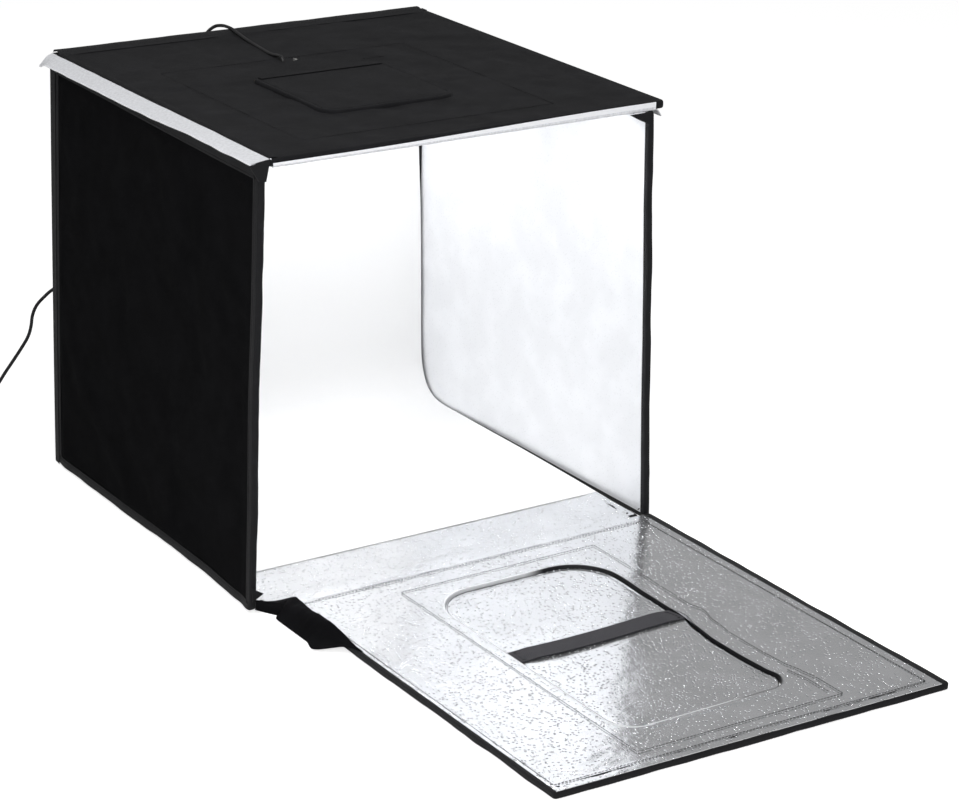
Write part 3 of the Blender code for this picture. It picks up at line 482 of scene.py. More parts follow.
def window_edge_finish(name, colour, cloth):
    """The door window's edge: film within and black cloth outside, with painted shade (black) low
    along its far right side, standing in for the shadow in the gap beside the flap.
    """
    made = Finish(name, colour, 0.42, metallic=0.3, specular_ior_level=0.3)
    x, _, z = made.parts(made.place())
    # Painted shade: the far right side's wall below its top lip is painted black for the shadow
    # in the gap
    painted_shade_far_right = x.between(0.030, 0.060) * (1 - z.between(0.0078, 0.0083))
    outside = 1 - z.between(0.0020, 0.0040)
    # Black where the outer cloth is, and where the shade is painted
    black = outside.math("MAXIMUM", painted_shade_far_right, outside)
    made.set("Base Color", made.mix(black, colour, cloth))
    made.set("Metallic", 0.3 - black * 0.3)
    return made.material


def backdrop_finish(name, colour):
    """A smooth white sheet with faint scuffs."""
    made = Finish(name, colour, 0.62, specular_ior_level=0.25)
    place = made.place()
    grain = made.noise(place, 0.0012, 2.0)
    scuff = made.noise(place, 0.060, 4.0).between(0.55, 0.80)
    made.set("Base Color", made.mix(scuff * 0.25, colour, darker(colour, 0.96)))
    made.set("Roughness", grain * 0.08 + 0.56)
    made.set("Normal", made.bump(grain + made.noise(place, 0.030, 2.0) * 2.0, 0.00010))
    return made.material


def tape_finish(name, colour):
    """The soft side of hook-and-loop tape: a pile of loops between two flat selvedges."""
    made = Finish(name, colour, 0.90, specular_ior_level=0.2, sheen_weight=0.25)
    flat = made.flat_place()
    across, _, _ = made.parts(flat)
    loops = made.cells(flat, 0.0008)
    tufts = made.noise(flat, 0.0035, 4.0, 0.65)
    pile = tufts.between(0.25, 0.80)
    tone = made.mix(pile * 0.8, darker(colour, 0.86), darker(colour, 1.14))
    edge = (across.size() - 0.0102).between(0.0, 0.0008)
    made.set("Base Color", made.mix(edge * 0.8, tone, darker(colour, 1.24)))
    made.set("Normal", made.bump((loops * 0.7 + tufts) * (1 - edge), 0.0005))
    return made.material


def webbing_finish(name, colour):
    """Woven strap: ribs across it and a herringbone along it."""
    made = Finish(name, colour, 0.78, specular_ior_level=0.25, sheen_weight=0.12)
    across, along, _ = made.parts(made.flat_place())
    rib = (along * (2 * math.pi / 0.0016)).sine()
    slant = ((across.size() * 1.6 + along) * (2 * math.pi / 0.0023)).sine()
    weave = rib * 0.35 + slant * 0.35 + 0.5
    made.set("Base Color", made.mix(weave, darker(colour, 0.6), darker(colour, 1.7)))
    made.set("Normal", made.bump(weave, 0.0003))
    return made.material


def board_finish(name, colour):
    """Pressed fibre board with dark flecks."""
    made = Finish(name, colour, 0.9)
    place = made.place()
    fibres = made.noise(place, 0.0020, 4.0, 0.7)
    flecks = made.noise(place, 0.0007, 2.0).between(0.60, 0.75)
    tone = made.mix(fibres, darker(colour, 0.75), darker(colour, 1.2))
    made.set("Base Color", made.mix(flecks * 0.5, tone, darker(colour, 0.5)))
    made.set("Normal", made.bump(fibres, 0.0002))
    return made.material


def metal_finish(name, colour, roughness, streak):
    """Metal with fine drawing marks along X."""
    made = Finish(name, colour, roughness, metallic=1.0)
    settings = {"vector_type": "POINT"}
    values = {"Vector": made.place(), "Scale": (0.02, 1.0, 1.0)}
    lines = made.noise(made.node("ShaderNodeMapping", settings, values), streak, 3.0)
    made.set("Base Color", made.mix(lines, darker(colour, 0.82), darker(colour, 1.12)))
    made.set("Roughness", lines * 0.18 + (roughness - 0.09))
    made.set("Normal", made.bump(lines, 0.00004))
    return made.material


def light_strip_finish(name, colour):
    """The bar's circuit strip, with its chips alight."""
    made = Finish(name, colour, 0.5)
    low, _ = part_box("light_bar_front_strip")
    place = made.place()
    _, _, height = made.parts(place)
    chip = 1 - height.between(low.z + 0.0010, low.z + 0.0016)
    grain = made.noise(place, 0.0010, 2.0)
    made.set("Base Color", made.mix(chip, darker(colour, 0.8), (0.95, 0.80, 0.42)))
    made.set("Emission Color", made.mix(chip, (0.0, 0.0, 0.0), (1.0, 0.97, 0.90)))
    made.set("Emission Strength", 3.0)
    made.set("Roughness", grain * 0.2 + 0.4)
    return made.material


def rubber_finish(name, colour, roughness):
    """Finely grained rubber or plastic with a little dust on it."""
    made = Finish(name, colour, roughness, specular_ior_level=0.35)
    place = made.place()
    grain = made.noise(place, 0.0008, 3.0)
    dust = made.noise(place, 0.020, 4.0).between(0.50, 0.80)
    made.set("Base Color", made.mix(dust * 0.4, colour, darker(colour, 2.4)))
    made.set("Roughness", dust * 0.2 + (roughness - 0.05))
    made.set("Normal", made.bump(grain, 0.00006))
    return made.material


# Distance between the yarns of the outer cloths
YARN = 0.0009

FINISHES = {}


def make_finishes():
    """One finish for each material slot of the record, and one each for two kinds of film: the
    walls' film, painted lighter, and the window's edge, with painted shade.
    """
    shades = colours()
    pit = sizes().pebble
    wall, lid = darker(shades.black_cloth, 0.45), darker(shades.lid_cloth, 0.42)
    # The walls' film is a copy of the silver film with its colour raised 5%, painted light so
    # that the walls show brighter; it is also less metallic, rougher and less deeply pitted
    wall_film = darker(shades.silver_lining, 1.05)
    FINISHES.update(
        black_cloth=cloth_finish("wall_cloth", wall, YARN, roughness=0.88, sheen=0.0, gloss=0.05),
        lid_cloth=cloth_finish(
            "lid_cloth_finish", lid, YARN, roughness=0.74, sheen=0.03, gloss=0.14
        ),
        black_binding=binding_finish("binding_tape", shades.black_binding),
        strap_webbing=webbing_finish("strap_weave", slot_colour("strap_webbing")),
        silver_lining=silver_finish(
            "silver_film", shades.silver_lining, pit, depth=0.0011, roughness=0.12, metallic=0.86
        ),
        wall_film=silver_finish(
            "wall_film", wall_film, pit, depth=0.00012, roughness=0.40, metallic=0.35
        ),
        window_edge=window_edge_finish(
            "window_edge_film", shades.silver_lining, shades.black_binding
        ),
        backdrop_white=backdrop_finish("backdrop_sheet_white", shades.backdrop_white),
        hook_tape=tape_finish("closure_pile", darker(shades.hook_tape, 1.12)),
        fibre_board=board_finish("pressed_board", slot_colour("fibre_board")),
        bar_aluminium=metal_finish("drawn_aluminium", slot_colour("bar_aluminium"), 0.36, 0.0006),
        nickel_eyelet=metal_finish("eyelet_nickel", slot_colour("nickel_eyelet"), 0.24, 0.0012),
        pin_brass=metal_finish("pin_plating", slot_colour("pin_brass"), 0.26, 0.0010),
        light_strip=light_strip_finish("lit_strip", slot_colour("light_strip")),
        lead_rubber=rubber_finish("lead_sheath", slot_colour("lead_rubber"), 0.46),
        adapter_plastic=rubber_finish("adapter_shell", slot_colour("adapter_plastic"), 0.42),
    )


# Modelling

# Frames that a slack cloth is given to settle
SETTLE_FRAMES = 14

# Share of a stitch's pitch that its thread shows
STITCH_SHOWN = 0.68


def pick_only(thing):
    """Makes one object the active one and the only one selected."""
    bpy.ops.object.select_all(action="DESELECT")
    thing.select_set(True)
    bpy.context.view_layer.objects.active = thing


@contextmanager
def editing(thing):
    """Edit mode on one object, with nothing selected at first."""
    pick_only(thing)
    bpy.ops.object.mode_set(mode="EDIT")
    bpy.ops.mesh.select_all(action="DESELECT")
    yield
    bpy.ops.object.mode_set(mode="OBJECT")


def select(thing, kind, test):
    """Selects each face (by its middle and normal), edge (by its ends) or corner that passes."""
    bpy.ops.mesh.select_mode(type=kind)
    form = bmesh.from_edit_mesh(thing.data)
    if kind == "FACE":
        parts = [(face, face.calc_center_median(), face.normal) for face in form.faces]
    elif kind == "EDGE":
        parts = [(edge, edge.verts[0].co, edge.verts[1].co) for edge in form.edges]
    else:
        parts = [(corner, corner.co) for corner in form.verts]
    for part, *measures in parts:
        if test(*measures):
            part.select_set(True)
    bmesh.update_edit_mesh(thing.data)


def modify(thing, kind, **settings):
    """Adds a modifier and applies it."""
    pick_only(thing)
    made = thing.modifiers.new(kind.title(), kind)
    for key, value in settings.items():
        setattr(made, key, value)
    bpy.ops.object.modifier_apply(modifier=made.name)


def move_points(thing, place):
    """Moves every point of a mesh to where a function puts it."""
    for spot in thing.data.vertices:
        spot.co = place(spot.co.copy())
    thing.data.update()


def keep_flat_places(thing):
    """Stores where each corner lies on the flat cloth, as the piece's map."""
    layer = thing.data.uv_layers.get("flat") or thing.data.uv_layers.new(name="flat")
    for loop in thing.data.loops:
        layer.data[loop.index].uv = thing.data.vertices[loop.vertex_index].co.xy


def sized(kind_add, extent, place=(0, 0, 0), **settings):
    """A primitive of unit size, scaled to its real size with its place in its mesh."""
    kind_add(size=1, location=place, **settings)
    thing = bpy.context.active_object
    thing.scale = extent
    pick_only(thing)
    bpy.ops.object.transform_apply(location=True, rotation=True, scale=True)
    return thing


def add_block(low, high):
    """A box from one corner to the other."""
    low, high = Vector(low), Vector(high)
    return sized(bpy.ops.mesh.primitive_cube_add, high - low, (low + high) / 2)


def add_sheet(width, height, cell):
    """A flat grid round the origin, with the cloth's own map."""
    steps = {"x_subdivisions": round(width / cell), "y_subdivisions": round(height / cell)}
    thing = sized(bpy.ops.mesh.primitive_grid_add, (width, height, 1), **steps)
    keep_flat_places(thing)
    return thing


def add_rounded_plate(low, high, front_radius, back_radius, thickness):
    """A plate with rounded corners: its top face at high z, one radius in front, one behind."""
    low, high = Vector(low), Vector(high)
    middle = (low + high) / 2
    size = (high.x - low.x, high.y - low.y, 1)
    thing = sized(bpy.ops.mesh.primitive_plane_add, size, (middle.x, middle.y, high.z))
    for radius, front in ((front_radius, True), (back_radius, False)):
        if radius > 0:
            with editing(thing):
                select(thing, "VERT", lambda spot: (spot.y < middle.y) == front)
                bpy.ops.mesh.bevel(offset=radius, segments=8, affect="VERTICES")
    modify(thing, "SOLIDIFY", thickness=thickness, offset=-1)
    return thing


def ripple(spot, across, seed=0):
    """Smooth hills and hollows between -1 and 1."""
    return noise.noise(Vector(spot) / across + Vector((7.3 * seed, 3.1 * seed, 1.7)))


def ease(share):
    """0 below 0, 1 above 1, smooth in between."""
    share = min(max(share, 0), 1)
    return share * share * (3 - 2 * share)


def settle_slack(thing, pinned, low, high, seed):
    """Lets cloth that is a little too large buckle between its seams, within two heights."""
    rest = [spot.co.z for spot in thing.data.vertices]
    for spot in thing.data.vertices:
        if not pinned(spot.co):
            spot.co.z += 0.35 * high * ripple(spot.co, 0.05, seed)
    run_cloth(thing, pinned)
    for spot, base in zip(thing.data.vertices, rest):
        rise = spot.co.z - base
        soft = high * math.tanh(rise / high) if rise > 0 else low * math.tanh(rise / low)
        spot.co.z = base + soft
    thing.data.update()


def run_cloth(thing, pinned):
    """Runs the cloth simulation on a sheet that is held where it is sewn."""
    pick_only(thing)
    sewn = thing.vertex_groups.new(name="sewn")
    held = [spot.index for spot in thing.data.vertices if pinned(spot.co)]
    sewn.add(held, 1.0, "REPLACE")
    made = thing.modifiers.new("Cloth", "CLOTH")
    settings = made.settings
    settings.quality = 4
    settings.mass = 0.15
    settings.tension_stiffness = 20
    settings.compression_stiffness = 20
    settings.shear_stiffness = 8
    settings.bending_stiffness = 0.4
    settings.shrink_min = -sizes().slack
    settings.vertex_group_mass = "sewn"
    settings.use_pressure = True
    settings.uniform_pressure_force = 0.4
    settings.effector_weights.gravity = 0
    made.collision_settings.use_collision = False
    made.point_cache.frame_start = 1
    made.point_cache.frame_end = SETTLE_FRAMES
    for step in range(1, SETTLE_FRAMES + 1):
        bpy.context.scene.frame_set(step)
    bpy.ops.object.modifier_apply(modifier=made.name)
    bpy.context.scene.frame_set(1)
    thing.vertex_groups.remove(thing.vertex_groups["sewn"])


def complete(thing, name, body, slot, replaced=(), smooth=40.0, finish=None):
    """Names a piece, gives it its finish and hands it to the body that carries it."""
    thing.name = name
    thing.data.name = name
    if body in ("door", "door_flap"):
        move_points(thing, settle_door)
    thing.data.materials.clear()
    thing.data.materials.append(FINISHES[finish or slot])
    pick_only(thing)
    if smooth:
        bpy.ops.object.shade_smooth_by_angle(angle=math.radians(smooth))
    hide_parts(*replaced)
    if body:
        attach(thing, body)
    return thing


def joined(things):
    """Several meshes as one object."""
    pick_only(things[0])
    for thing in things[1:]:
        thing.select_set(True)
    bpy.ops.object.join()
    return bpy.context.active_object


def face_frame(normal, place):
    """A frame on a panel's face: Z out of the face, Y up or along the depth."""
    out = Vector(normal)
    if abs(out.z) > 0.5:
        across = Vector((1, 0, 0))
        up = out.cross(across)
    else:
        up = Vector((0, 0, 1))
        across = up.cross(out)
    turn = Matrix((across, up, out)).transposed()
    return Matrix.Translation(place) @ turn.to_4x4()


class Panel:
    """A panel's two faces, read from the box of its binding."""

    def __init__(self, name):
        self.name = name
        self.number = list(PANEL_NORMALS).index(name)
        self.body = name if name in frame["bodies"] else "root"
        low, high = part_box(name + "_binding")
        normal = Vector(PANEL_NORMALS[name])
        middle = (low + high) / 2
        size = high - low
        self.thickness = abs(size.dot(normal))
        reach = normal * self.thickness / 2
        self.outside = face_frame(normal, middle + reach)
        self.inside = face_frame(-normal, middle - reach)
        self.width = abs(size.dot(self.outside.col[0].xyz))
        self.height = abs(size.dot(self.outside.col[1].xyz))

    def edge_distance(self, spot):
        return min(self.width / 2 - abs(spot.x), self.height / 2 - abs(spot.y))

    def put(self, thing, face):
        """Places a piece that was modelled face up, as its panel stands and above the floor."""
        thing.data.transform(face)
        move_points(thing, self.stand)
        move_points(thing, lambda spot: Vector((spot.x, spot.y, max(spot.z, 0.0))))

    def stand(self, spot):
        """Where a point comes to stand on a panel that is slack."""
        if self.name in WALLS:
            spot = self.lean(spot)
        if self.name in ("left_wall", "bottom", "back"):
            spot = flare(spot)
        return spot

    def lean(self, spot):
        """Lets a wall bulge a little, and the right one lean as well."""
        side = -1 if self.name == "left_wall" else 1
        bulge = 0.0016 * ripple((0, spot.y, spot.z), 0.16, side)
        spot.x += side * bulge * ease((HINGE_LINE - spot.y) / HINGE_LINE)
        if side > 0:
            height = min(max(spot.z / CUBE_TOP, 0), 1)
            off = RIGHT_LEAN[0] + (RIGHT_LEAN[1] - RIGHT_LEAN[0]) * height
            spot.x += off * ease((HINGE_LINE - spot.y) / (2 * HINGE_LINE))
        return spot


def flare(spot):
    """Where a point of the tent's slack left side comes to stand."""
    bottom, top = between(FLARE_BOTTOM, spot.y), between(FLARE_TOP, spot.y)
    height = min(max(spot.z / CUBE_TOP, 0), 1) ** FLARE_POWER
    share = ease((-spot.x - FLARE_START) / FLARE_REACH)
    spot.x -= (bottom + (top - bottom) * height) * share
    corner = ease((FOOT[1] - spot.y) / 0.018) * ease((FOOT[0] - spot.x) / 0.020)
    spot.z += FOOT_LIFT * corner * ease((0.030 - spot.z) / 0.030)
    return spot


def settle_door(spot):
    """Where a point of the open door comes to lie."""
    low, high = DOOR_BOX
    window_low, window_high = WINDOW_BOX
    start = window_low.y - DOOR_SKEW_START
    front = ease((start - spot.y) / (start - low.y))
    across = (spot.x - (low.x + high.x) / 2) / (high.x - low.x)
    near = 1 - abs(spot.x - window_high.x) / DOOR_SAG_REACH
    spot.x += between(DOOR_SAG, spot.y) * ease(near * 1.6)
    spot.y -= DOOR_SKEW / 2 * across * front
    return spot


def between(table, value):
    """The second number of a falling table, read at a value of the first."""
    for (start, first), (end, second) in zip(table, table[1:]):
        if end <= value <= start:
            share = ease((start - value) / (start - end))
            return first + (second - first) * share
    return 0.0


def cut_window(thing, name):
    """Cuts a window through a layer that is already in place."""
    low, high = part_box(name + "_window_facing")
    margin = Vector((0.0003, 0.0003, 0.02))
    front, back = WINDOW_RADII[name]
    cutter = add_rounded_plate(
        low - margin, high + margin, front, back, (high - low).z + 2 * margin.z
    )
    uncut = len(thing.data.polygons)
    modify(thing, "BOOLEAN", operation="DIFFERENCE", solver="MANIFOLD", object=cutter)
    if not uncut / 2 < len(thing.data.polygons) < uncut:
        raise RuntimeError("the window was not cut in the " + name)
    bpy.data.objects.remove(cutter, do_unlink=True)


# The outer cloths: their mesh cell, and how much smaller than its panel a cloth is cut
COVER_CELL = 0.0085
COVER_MARGIN = 0.004
LID_COVER_MARGIN = 0.0024

# How high the lid's cloth lies, how far another one dips under its binding and rises beside it,
# and the most that a cloth which the tent stands on gives
LID_COVER_HEIGHT = 0.0005
COVER_DIP = 0.0012
COVER_RISE = 0.0010
PRESSED_WRINKLE = 0.0002

# The lid's cloth over the panel's edge: how far it grows and drops with each turn
HEM_TURNS = [(0.0009, 0.0002), (0.0005, 0.0012), (0.0, 0.0035)]


def build_cover(panel):
    """The outer cloth, sewn round its edge and a little slack between the seams."""
    lip = sizes().lip
    over = panel.name == "lid"
    margin = LID_COVER_MARGIN if over else COVER_MARGIN
    thing = add_sheet(panel.width - margin, panel.height - margin, COVER_CELL)

    def base(spot):
        if over:
            spot.z = LID_COVER_HEIGHT
        else:
            past_lip = panel.edge_distance(spot) - lip + 0.002
            spot.z = COVER_RISE * ease(past_lip / 0.006) - COVER_DIP
        return spot

    move_points(thing, base)
    sewn = 0.004 if over else lip + 0.001
    rise = sizes().wrinkle * (0.5 if over else 1.0)
    if PANEL_NORMALS[panel.name][2] < 0:
        rise = PRESSED_WRINKLE
    settle_slack(
        thing, lambda spot: panel.edge_distance(spot) < sewn, 0.0004, rise, 1 + panel.number
    )
    if over:
        turn_hem(thing, panel)
    modify(thing, "SUBSURF", levels=1, render_levels=1)
    modify(thing, "SOLIDIFY", thickness=sizes().cloth, offset=-1)
    panel.put(thing, panel.outside)
    if panel.name in WINDOW_RADII:
        cut_window(thing, panel.name)
    slot = "lid_cloth" if over else "black_cloth"
    name = panel.name + "_outer_cloth"
    complete(thing, name, panel.body, slot, [panel.name + "_cover"])
    area = panel.width * panel.height
    if panel.name in WINDOW_RADII:
        low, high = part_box(panel.name + "_window_facing")
        area -= (high.x - low.x) * (high.y - low.y)


def turn_hem(thing, panel):
    """Turns the edge of a cloth down over the edge of its panel."""
    with editing(thing):
        bpy.ops.mesh.select_mode(type="FACE")
        bpy.ops.mesh.select_all(action="SELECT")
        bpy.ops.mesh.region_to_loop()
        for grow, drop in HEM_TURNS:
            bpy.ops.mesh.extrude_edges_move()
            stretch = (1 + 2 * grow / panel.width, 1 + 2 * grow / panel.height, 1)
            bpy.ops.transform.resize(value=stretch, center_override=(0, 0, 0))
            bpy.ops.transform.translate(value=(0, 0, -drop))


# The linings: their mesh cell, how far the film sinks off its edge, and on a wall at its back
LINING_CELL = 0.0050
FILM_SINK = 0.0012
WALL_FILM_SINK = 0.0016


def build_lining(panel):
    """The silver lining, with shallow hollows where the film pulls at its backing."""
    left, right, bottom, top = FILM_MARGINS.get(panel.name, FILM_MARGIN)
    width, height = panel.width - left - right, panel.height - bottom - top
    thing = add_sheet(width, height, LINING_CELL)
    shift = Vector(((left - right) / 2, (bottom - top) / 2, 0))
    lip = sizes().lip
    seed = 20 + panel.number
    rear = HINGE_LINE - 0.0090 - lip

    def place(spot):
        depth = min(width / 2 - abs(spot.x), height / 2 - abs(spot.y))
        spot += shift
        hills = 0.35 + 0.65 * ripple(spot, 0.045, seed) + 0.35 * ripple(spot, 0.017, seed)
        pucker = 0.6 * ripple((spot.x, spot.y, 0), 0.009, seed + 3) * ease(1 - depth / 0.03)
        sink = ease(depth / 0.020) * FILM_SINK
        if panel.name in WALLS:
            behind = (panel.inside @ spot).y - rear
            sink = max(sink, WALL_FILM_SINK * ease(behind / 0.002 + 1))
        spot.z = 0.0005 - sink + 0.0005 * (hills + pucker) * ease(depth / 0.006)
        return spot

    move_points(thing, place)
    modify(thing, "SOLIDIFY", thickness=sizes().lining, offset=-1)
    panel.put(thing, panel.inside)
    if panel.name in WINDOW_RADII:
        cut_window(thing, panel.name)
    name = panel.name + "_silver_film"
    # The walls take the copy of the film that is painted lighter
    finish = "silver_lining" if panel.name in ("door", "bottom") else "wall_film"
    nodes = [panel.name + "_lining"]
    complete(thing, name, panel.body, "silver_lining", nodes, finish=finish)


# The bindings: radius at the panel's corners, cuts along each side, how far the tape strays
# outwards, rises and strays at its inner edge, and how much lower it lies on the lid
BINDING_CORNER = 0.004
BINDING_CUTS = 72
BINDING_STRAY = 0.0011
BINDING_RISE = 0.0009
BINDING_HEM_STRAY = 0.0007
LID_BINDING_DROP = 0.0014


def build_binding(panel):
    """A tape folded over the panel's edge and sewn through, a little wavy along the fold."""
    lip = sizes().lip
    fold = sizes().fold
    width, height, thick = panel.width, panel.height, panel.thickness
    thing = add_block((-width / 2, -height / 2, -thick), (width / 2, height / 2, 0))
    with editing(thing):
        select(thing, "EDGE", lambda one, two: abs(one.z - two.z) > thick / 2)
        bpy.ops.mesh.bevel(offset=BINDING_CORNER, segments=3, affect="EDGES")
    with editing(thing):
        select(thing, "EDGE", lambda one, two: abs(one.z - two.z) < thick / 4)
        bpy.ops.mesh.bevel(offset=fold, segments=3, affect="EDGES")
    with editing(thing):
        select(thing, "FACE", lambda spot, normal: abs(normal.z) > 0.99)
        bpy.ops.mesh.inset(thickness=lip - fold)
        bpy.ops.mesh.delete(type="FACE")
    with editing(thing):
        select(thing, "EDGE", lambda one, two: (one - two).length > 0.1)
        bpy.ops.mesh.subdivide(number_cuts=BINDING_CUTS)
    seed = 40 + panel.number

    def wave(spot):
        depth = panel.edge_distance(spot)
        loose = ease(1 - depth / lip)
        out = Vector((0, 0, 0))
        if panel.width / 2 - abs(spot.x) < lip:
            out.x = math.copysign(1, spot.x)
        if panel.height / 2 - abs(spot.y) < lip:
            out.y = math.copysign(1, spot.y)
        rag = 0.9 * ripple(spot, 0.055, seed) + 0.45 * ripple(spot, 0.018, seed)
        spot += out * (BINDING_STRAY * rag * loose)
        spot.z += BINDING_RISE * loose * ripple((spot.x, spot.y, 0), 0.035, seed + 5)
        if panel.name == "lid" and spot.z > -thick / 2:
            spot.z -= LID_BINDING_DROP
        if depth > lip - 0.0005:
            inward = BINDING_HEM_STRAY * ripple((spot.x, spot.y, 0), 0.007, seed + 9)
            spot -= out * inward
        return spot

    move_points(thing, wave)
    modify(thing, "SOLIDIFY", thickness=sizes().binding, offset=-1)
    panel.put(thing, panel.outside)
    name = panel.name + "_edge_tape"
    complete(thing, name, panel.body, "black_binding", [panel.name + "_binding"], smooth=55)


def build_board(name, stand=None):
    """The stiff board inside a panel or flap, bent as the panel stands."""
    thing = copy_form(name + "_board")
    with editing(thing):
        select(thing, "EDGE", lambda one, two: (one - two).length > 0.1)
        bpy.ops.mesh.subdivide(number_cuts=24)
    if stand:
        move_points(thing, stand)
    complete(thing, name + "_stiffener", name, "fibre_board", [name + "_board"])


def add_stitches(start, end):
    """One straight row of stitches along the top of a cloth face."""
    start, end = Vector(start), Vector(end)
    run = end - start
    pitch = sizes().stitch
    count = max(round(run.length / pitch), 1)
    bpy.ops.mesh.primitive_cylinder_add(
        vertices=6, radius=sizes().thread, depth=STITCH_SHOWN * pitch, end_fill_type="TRIFAN"
    )
    thing = bpy.context.active_object
    lying = Matrix.Rotation(math.pi / 2, 4, "Y")
    thing.data.transform(Matrix.Translation((pitch / 2, 0, 0)) @ lying)
    modify(
        thing, "ARRAY", count=count, use_relative_offset=False, use_constant_offset=True,
        constant_offset_displace=(run.length / count, 0, 0),
    )
    turn = Matrix.Rotation(math.atan2(run.y, run.x), 4, "Z")
    thing.data.transform(Matrix.Translation(start) @ turn)
    return thing


def stitched_rectangle(low, high, height):
    """Four rows of stitches round a rectangle."""
    corners = [
        (low[0], low[1], height),
        (high[0], low[1], height),
        (high[0], high[1], height),
        (low[0], high[1], height),
    ]
    return [add_stitches(start, end) for start, end in zip(corners, corners[1:] + corners[:1])]


def build_panel_stitching(panel):
    """The rows of thread that hold the binding, one on each face."""
    inset = sizes().lip - 0.0025
    reach = (panel.width / 2 - inset, panel.height / 2 - inset)
    sides = []
    for face in (panel.outside, panel.inside):
        rows = joined(stitched_rectangle((-reach[0], -reach[1]), reach, 0.0))
        panel.put(rows, face)
        sides.append(rows)
    complete(joined(sides), panel.name + "_binding_thread", panel.body, "black_binding")


# Parts that follow a line


def smooth_route(route, steps):
    """Points on one smooth curve through a route's own points."""
    spots = [Vector(point) for point in route]
    padded = [spots[0] * 2 - spots[1]] + spots + [spots[-1] * 2 - spots[-2]]
    points = []
    for index in range(1, len(padded) - 2):
        before, start, end, after = padded[index - 1 : index + 3]
        for step in range(steps):
            share = step / steps
            line = 2 * start + (end - before) * share
            square = (2 * before - 5 * start + 4 * end - after) * share**2
            cube = (3 * start - before - 3 * end + after) * share**3
            points.append(0.5 * (line + square + cube))
    points.append(spots[-1])
    return points


def route_length(points):
    return sum((after - before).length for before, after in zip(points, points[1:]))


def walk(points, distance):
    """The point at a distance along a route, straight on beyond its ends."""
    for before, after in zip(points, points[1:]):
        step = (after - before).length
        if distance <= step or after is points[-1]:
            return before + (after - before) * (distance / step)
        distance -= step


def add_tube(points, radius, sides=12):
    """A closed round tube along a route."""
    bpy.ops.object.select_all(action="DESELECT")
    curve = bpy.data.curves.new("route", "CURVE")
    curve.dimensions = "3D"
    line = curve.splines.new("POLY")
    line.points.add(len(points) - 1)
    for spot, place in zip(line.points, points):
        spot.co = (*place, 1)
    curve.bevel_depth = radius
    curve.bevel_resolution = sides // 4 - 1
    curve.use_fill_caps = True
    thing = bpy.data.objects.new("route", curve)
    bpy.context.collection.objects.link(thing)
    pick_only(thing)
    bpy.ops.object.convert(target="MESH")
    return bpy.context.active_object


def add_bent_strip(profile, low, high, place, cell, wave=0.0, seed=0):
    """A strip that follows a profile across and runs straight from low to high."""
    route = smooth_route([(*point, 0) for point in profile], 4)
    width = route_length(route)
    thing = add_sheet(width, high - low, cell)

    def fold(spot):
        across = walk(route, spot.x + width / 2)
        along = spot.y + (low + high) / 2
        rise = wave * ripple((spot.x, spot.y, 0), 0.030, seed)
        return Vector(place(across.x, across.y, along)) + Vector((0, 0, rise))

    move_points(thing, fold)
    return thing


def along_x(across, up, along):
    return (along, across, up)


def along_y(across, up, along):
    return (across, along, up)


def along_z(across, up, along):
    return (across, up, along)


def thicken(thing, thickness, offset=0):
    """Gives a sheet its thickness and turns every face outwards."""
    modify(thing, "SOLIDIFY", thickness=thickness, offset=offset)
    with editing(thing):
        bpy.ops.mesh.select_all(action="SELECT")
        bpy.ops.mesh.normals_make_consistent(inside=False)


def add_ringed_sheet(low, high, front_radius, back_radius):
    """A sheet with rounded corners whose mesh lies in rings, close together near its edge.

    Each point's height is its distance from the edge, for the caller to shape.
    """
    rings = 26
    low, high = Vector(low), Vector(high)
    middle, half = (low + high) / 2, (high - low) / 2
    thing = sized(
        bpy.ops.mesh.primitive_grid_add, (2, 2, 1),
        x_subdivisions=2 * rings, y_subdivisions=2 * rings,
    )
    reach = min(half.x, half.y)

    def place(spot):
        ring = max(abs(spot.x), abs(spot.y), 1e-6)
        inset = reach * (1 - ring) ** 1.6
        half_x, half_y = half.x - inset, half.y - inset
        radius = front_radius if spot.y < 0 else back_radius
        radius = min(max(radius - inset, 0), half_x, half_y)
        x, y = spot.x / ring * half_x, spot.y / ring * half_y
        over_x, over_y = abs(x) - (half_x - radius), abs(y) - (half_y - radius)
        if over_x > 0 and over_y > 0 and radius > 0:
            out = Vector((over_x, over_y)).normalized() * radius
            x = math.copysign(half_x - radius + out.x, x)
            y = math.copysign(half_y - radius + out.y, y)
        return Vector((middle.x + x, middle.y + y, inset))

    move_points(thing, place)
    keep_flat_places(thing)
    return thing


def copy_form(node):
    """A copy of a CAD node's form, with its doubled points merged."""
    source = frame["nodes"][node]
    thing = bpy.data.objects.new(node + "_copy", source.data.copy())
    thing.data.transform(source.matrix_world)
    bpy.context.collection.objects.link(thing)
    with editing(thing):
        bpy.ops.mesh.select_all(action="SELECT")
        bpy.ops.mesh.remove_doubles(threshold=0.00001)
    return thing


# The pieces


# A window's facing: its thickness, and how far it turns over the panel and stands below and
# above its box
FACING_CLOTH = 0.0006
FACING_FLANGE = 0.0010
FACING_BELOW = 0.0004
FACING_ABOVE = 0.0006


